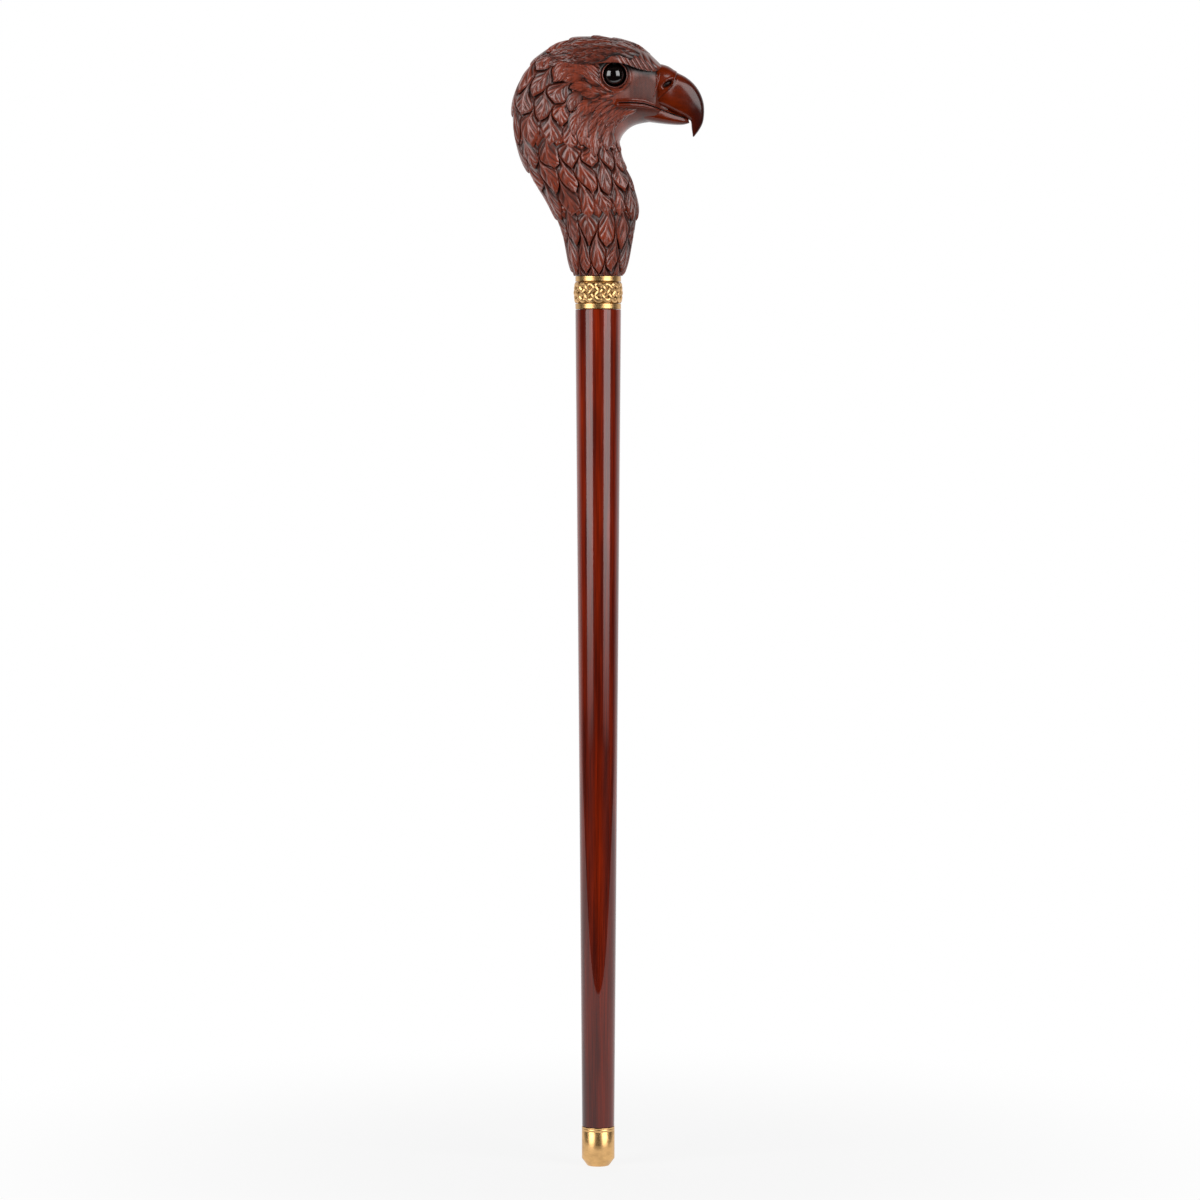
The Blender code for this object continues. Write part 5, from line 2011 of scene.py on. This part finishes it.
@dataclass
class Stick:
    """The tapered shaft, with its tenons, and the turned ferrule on its foot.

    Attributes:
        ring_down: How far under the ferrule's top its wide turned line ends.
        ring: Half the height and the depth of that line.
        line_down: How far under the top its narrow turned line ends.
        line: Half the height and the depth of that line.
    """

    ferrule_height: float = 32 * MM
    ferrule_radius: float = 13.3 * MM
    ferrule_wall: float = 1.2 * MM
    ferrule_floor: float = 8 * MM
    foot_radius: float = 8.9 * MM
    chamfer: float = 6 * MM
    ring_down: float = 3.6 * MM
    ring: tuple = (0.25 * MM, 0.12 * MM)
    line_down: float = 1.5 * MM
    line: tuple = (0.2 * MM, 0.1 * MM)
    ferrule_break: float = 0.35 * MM
    clearance: float = 0.3 * MM
    length: float = 663 * MM
    top_radius: float = 18.45 * MM
    low_radius: float = 13.15 * MM
    shaft_break: float = 0.45 * MM
    tenon_radius: float = 14.7 * MM
    tenon_top: float = 718.1 * MM
    flange_radius: float = 9.8 * MM
    flange_depth: float = 2.3 * MM
    insert_radius: float = 8.3 * MM
    bore_depth: float = 25 * MM

    def build(self, shop: Workshop) -> None:
        """Turns the shaft and the ferrule.

        Args:
            shop: The workshop.
        """
        bore = self.ferrule_radius - self.ferrule_wall
        seat = self.ferrule_floor + self.clearance
        low, top = self.ferrule_height + self.clearance, self.ferrule_height + self.clearance + self.length
        shaft = [
            (0, seat),
            (bore - self.clearance, seat),
            (bore - self.clearance, low),
            (self.low_radius, low),
            (self.top_radius, top),
            (self.tenon_radius, top),
            (self.tenon_radius, self.tenon_top),
            (self.flange_radius, self.tenon_top),
            (self.flange_radius, self.tenon_top - self.flange_depth),
            (self.insert_radius, self.tenon_top - self.flange_depth),
            (self.insert_radius, self.tenon_top - self.bore_depth),
            (0, self.tenon_top - self.bore_depth),
        ]
        bm = turned(broken(shaft, self.shaft_break, (3, 4, 6)))
        shop.finish(bm, "shaft_stick", Surface.LACQUERED, Body.SHAFT, ("shaft",), 30)
        ferrule = [(0, 0), (self.foot_radius, 0), (self.ferrule_radius, self.chamfer)]
        for down, (half, depth) in ((self.ring_down, self.ring), (self.line_down, self.line)):
            start = self.ferrule_height - down
            ferrule.append((self.ferrule_radius, start))
            ferrule.append((self.ferrule_radius - depth, start + half))
            ferrule.append((self.ferrule_radius, start + 2 * half))
        ferrule += [(self.ferrule_radius, self.ferrule_height), (bore, self.ferrule_height)]
        ferrule += [(bore, self.ferrule_floor), (0, self.ferrule_floor)]
        bm = turned(broken(ferrule, self.ferrule_break, (1, 2, 9)))
        shop.finish(bm, "ferrule_cup", Surface.BRASS, Body.SHAFT, ("ferrule",), 30)


@dataclass
class ThreadedJoint:
    """The stud that the head unscrews on, with its rolled thread, and the brass insert in the shaft."""

    radius: float = 5 * MM
    pitch: float = 1.5 * MM
    pitch_steps: int = 8
    thread_depth: float = 0.75 * MM
    bottom: float = 703.1 * MM
    top: float = 760.4 * MM
    run_out: float = 1.2 * MM
    sides: int = 32

    def build(self, shop: Workshop) -> None:
        """Rolls the thread and dresses the insert.

        Args:
            shop: The workshop.
        """
        count = round((self.top - self.bottom) / self.pitch * self.pitch_steps)
        heights = np.linspace(self.bottom, self.top, count)
        angles = np.linspace(0, math.tau, self.sides, endpoint=False)
        z, angle = np.meshgrid(heights, angles, indexing="ij")
        turn = (z - self.bottom) / self.pitch - angle / math.tau
        profile = 1 - np.abs(2 * (turn % 1.0) - 1)
        taper = smoothstep(0, self.run_out, z - self.bottom) * smoothstep(0, self.run_out, self.top - z)
        radius = self.radius - self.thread_depth * (1 - np.clip(profile * 1.4, 0, 1) * taper)
        rings = np.stack([radius * np.cos(angle), radius * np.sin(angle), z], axis=2)
        shop.finish(lofted(rings), "threaded_stud", Surface.STEEL, Body.STUD, ("stud",))
        shop.dress("shaft_insert", Surface.BRASS)


@dataclass
class Studio:
    """The photographer's table: a pale floor, two tall soft lights beside the camera, and the camera.

    Its sizes are in metres.

    Attributes:
        box_foot: Height at which a light starts to glow.
        radiance: How bright it is, where a white card facing it all round would look just white at 1.
        floor_shadow: Distances from the ferrule between which the floor grows white.
        floor_glow: How white it is close to the ferrule, for the camera and in reflections.
        room: How bright the room is in front of the cane and behind it.
        room_turn: Y of the direction in which the one gives way to the other.
    """

    camera_at: tuple = (0.00145, -3.79765, 0.66269)
    pitch_down: float = math.radians(3.04478)
    lens: float = 141.0
    sensor: float = 36.0
    softboxes: tuple = (-47.5, 47.5)
    distance: float = 6.0
    box_width: float = 4.0
    box_foot: float = -0.35
    box_full: float = 0.75
    box_top: float = 5.6
    radiance: float = 4.3
    floor_front: float = 0.5
    floor_radius: float = 3.0
    floor_gap: float = 0.2 * MM
    floor_shadow: tuple = (0.12, 0.7)
    floor_glow: float = 0.86
    room: tuple = (0.015, 0.9)
    room_turn: tuple = (0.15, 0.6)

    def build(self) -> None:
        """Sets up the floor, the world, the lights and the camera."""
        self.floor()
        self.world()
        for azimuth in self.softboxes:
            self.softbox(azimuth)
        data = bpy.data.cameras.new("Photo camera")
        data.lens, data.sensor_width = self.lens, self.sensor
        camera = bpy.data.objects.new("Photo camera", data)
        camera.location = self.camera_at
        camera.rotation_euler = (math.pi / 2 - self.pitch_down, 0, 0)
        bpy.context.scene.collection.objects.link(camera)
        bpy.context.scene.camera = camera
        bpy.context.scene.view_settings.view_transform = "Standard"

    def floor(self) -> None:
        """Lays a pale floor that looks white far from the cane, and shows its shadow near it."""
        bm = bmesh.new()
        bmesh.ops.create_circle(bm, cap_ends=True, segments=96, radius=self.floor_radius)
        behind = self.floor_radius - self.floor_front
        bmesh.ops.translate(bm, verts=bm.verts, vec=(0, behind, -self.floor_gap))
        mesh = bpy.data.meshes.new("Floor")
        bm.to_mesh(mesh)
        bm.free()
        mesh.materials.append(self.paper())
        floor = bpy.data.objects.new("Floor", mesh)
        bpy.context.scene.collection.objects.link(floor)

    def paper(self) -> bpy.types.Material:
        """White paper, matt, that the camera and reflections see as lit from behind away from the cane.

        Returns:
            The material.
        """
        paper = bpy.data.materials.new("White paper")
        paper.use_nodes = True
        tree = paper.node_tree
        shader = tree.nodes["Principled BSDF"]
        shader.inputs["Roughness"].default_value = 0.9
        fibres = add_node(tree, "TexNoise", {"Scale": 40.0, "Detail": 3.0})
        stops = [(0, linear("#d8d8d8")), (1, linear("#e0e0e0"))]
        pale = add_node(tree, "ValToRGB", {"Fac": fibres}, stops=stops)
        tree.links.new(pale, shader.inputs["Base Color"])
        rays = ("Is Glossy Ray", "Is Transmission Ray", "Is Camera Ray")
        glossy, clear, straight = (add_node(tree, "LightPath", take=ray) for ray in rays)
        mirrored = add_node(tree, "Math", {0: glossy, 1: clear}, operation="MAXIMUM")
        seen = add_node(tree, "Math", {0: straight, 1: mirrored}, operation="MAXIMUM")
        place = add_node(tree, "TexCoord", take="Object")
        away = add_node(tree, "VectorMath", {0: place}, operation="LENGTH")
        low, high = self.floor_shadow
        leaving = {"Value": away, "From Min": low, "From Max": high}
        far = add_node(tree, "MapRange", leaving, interpolation_type="SMOOTHSTEP")
        least = add_node(tree, "MapRange", {"Value": far, "To Min": self.floor_glow})
        share = add_node(tree, "Math", {0: least, 1: seen}, operation="MULTIPLY")
        glow = add_node(tree, "Emission", {"Color": grey(1.0), "Strength": 1.0})
        both = add_node(tree, "MixShader", {0: share, 1: shader.outputs[0], 2: glow})
        tree.links.new(both, tree.nodes["Material Output"].inputs["Surface"])
        return paper

    def world(self) -> None:
        """A white backdrop behind the cane and a dark room behind the camera."""
        world = bpy.data.worlds.new("Studio room")
        bpy.context.scene.world = world
        world.use_nodes = True
        tree = world.node_tree
        toward = add_node(tree, "TexCoord", take="Generated")
        back = add_node(tree, "SeparateXYZ", {0: toward}, take="Y")
        start, end = self.room_turn
        dark, light = self.room
        turning = {"Value": back, "From Min": start, "From Max": end, "To Min": dark, "To Max": light}
        room = add_node(tree, "MapRange", turning)
        rays = add_node(tree, "LightPath", take="Is Camera Ray")
        sky = add_node(tree, "Mix", {"Factor": rays, "A": room, "B": 1.0}, data_type="FLOAT")
        background = tree.nodes["Background"].inputs
        background["Color"].default_value = grey(1.0)
        tree.links.new(sky, background["Strength"])

    def softbox(self, azimuth: float) -> None:
        """Hangs one soft light, which dims towards its lower end.

        Args:
            azimuth: Degrees to the right of the camera, seen from the cane.
        """
        tall = self.box_top - self.box_foot
        data = bpy.data.lights.new("Softbox", "AREA")
        data.shape = "RECTANGLE"
        data.size, data.size_y = self.box_width, tall
        data.energy = self.radiance * math.pi * self.box_width * tall
        data.use_nodes = True
        tree = data.node_tree
        up = add_node(tree, "NewGeometry", take="Parametric")
        height = add_node(tree, "SeparateXYZ", {0: up}, take="Y")
        full = (self.box_full - self.box_foot) / tall
        glow = add_node(tree, "MapRange", {"Value": height, "From Max": full})
        tree.links.new(glow, tree.nodes["Emission"].inputs["Strength"])
        lamp = bpy.data.objects.new("Softbox", data)
        turn = math.radians(azimuth)
        middle = (self.box_top + self.box_foot) / 2
        lamp.location = (self.distance * math.sin(turn), -self.distance * math.cos(turn), middle)
        lamp.rotation_euler = (math.pi / 2, 0, turn)
        bpy.context.scene.collection.objects.link(lamp)


def main() -> None:
    """Builds and dresses the cane, piece by piece, and sets up the studio."""
    logging.basicConfig(level=logging.INFO, format="%(name)s: %(message)s")
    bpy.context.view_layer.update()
    shop = Workshop()
    Stick().build(shop)
    PlaitedCollar().build(shop)
    ThreadedJoint().build(shop)
    form = HeadForm()
    FeatherCoat(form).build(shop)
    Beak(form).build(shop)
    for side in Side:
        ground = Brow(form).build(shop, side)
        Face(form).build(shop, side, ground)
        Eye().build(shop, side)
    Studio().build()


if __name__ == "__main__":
    main()
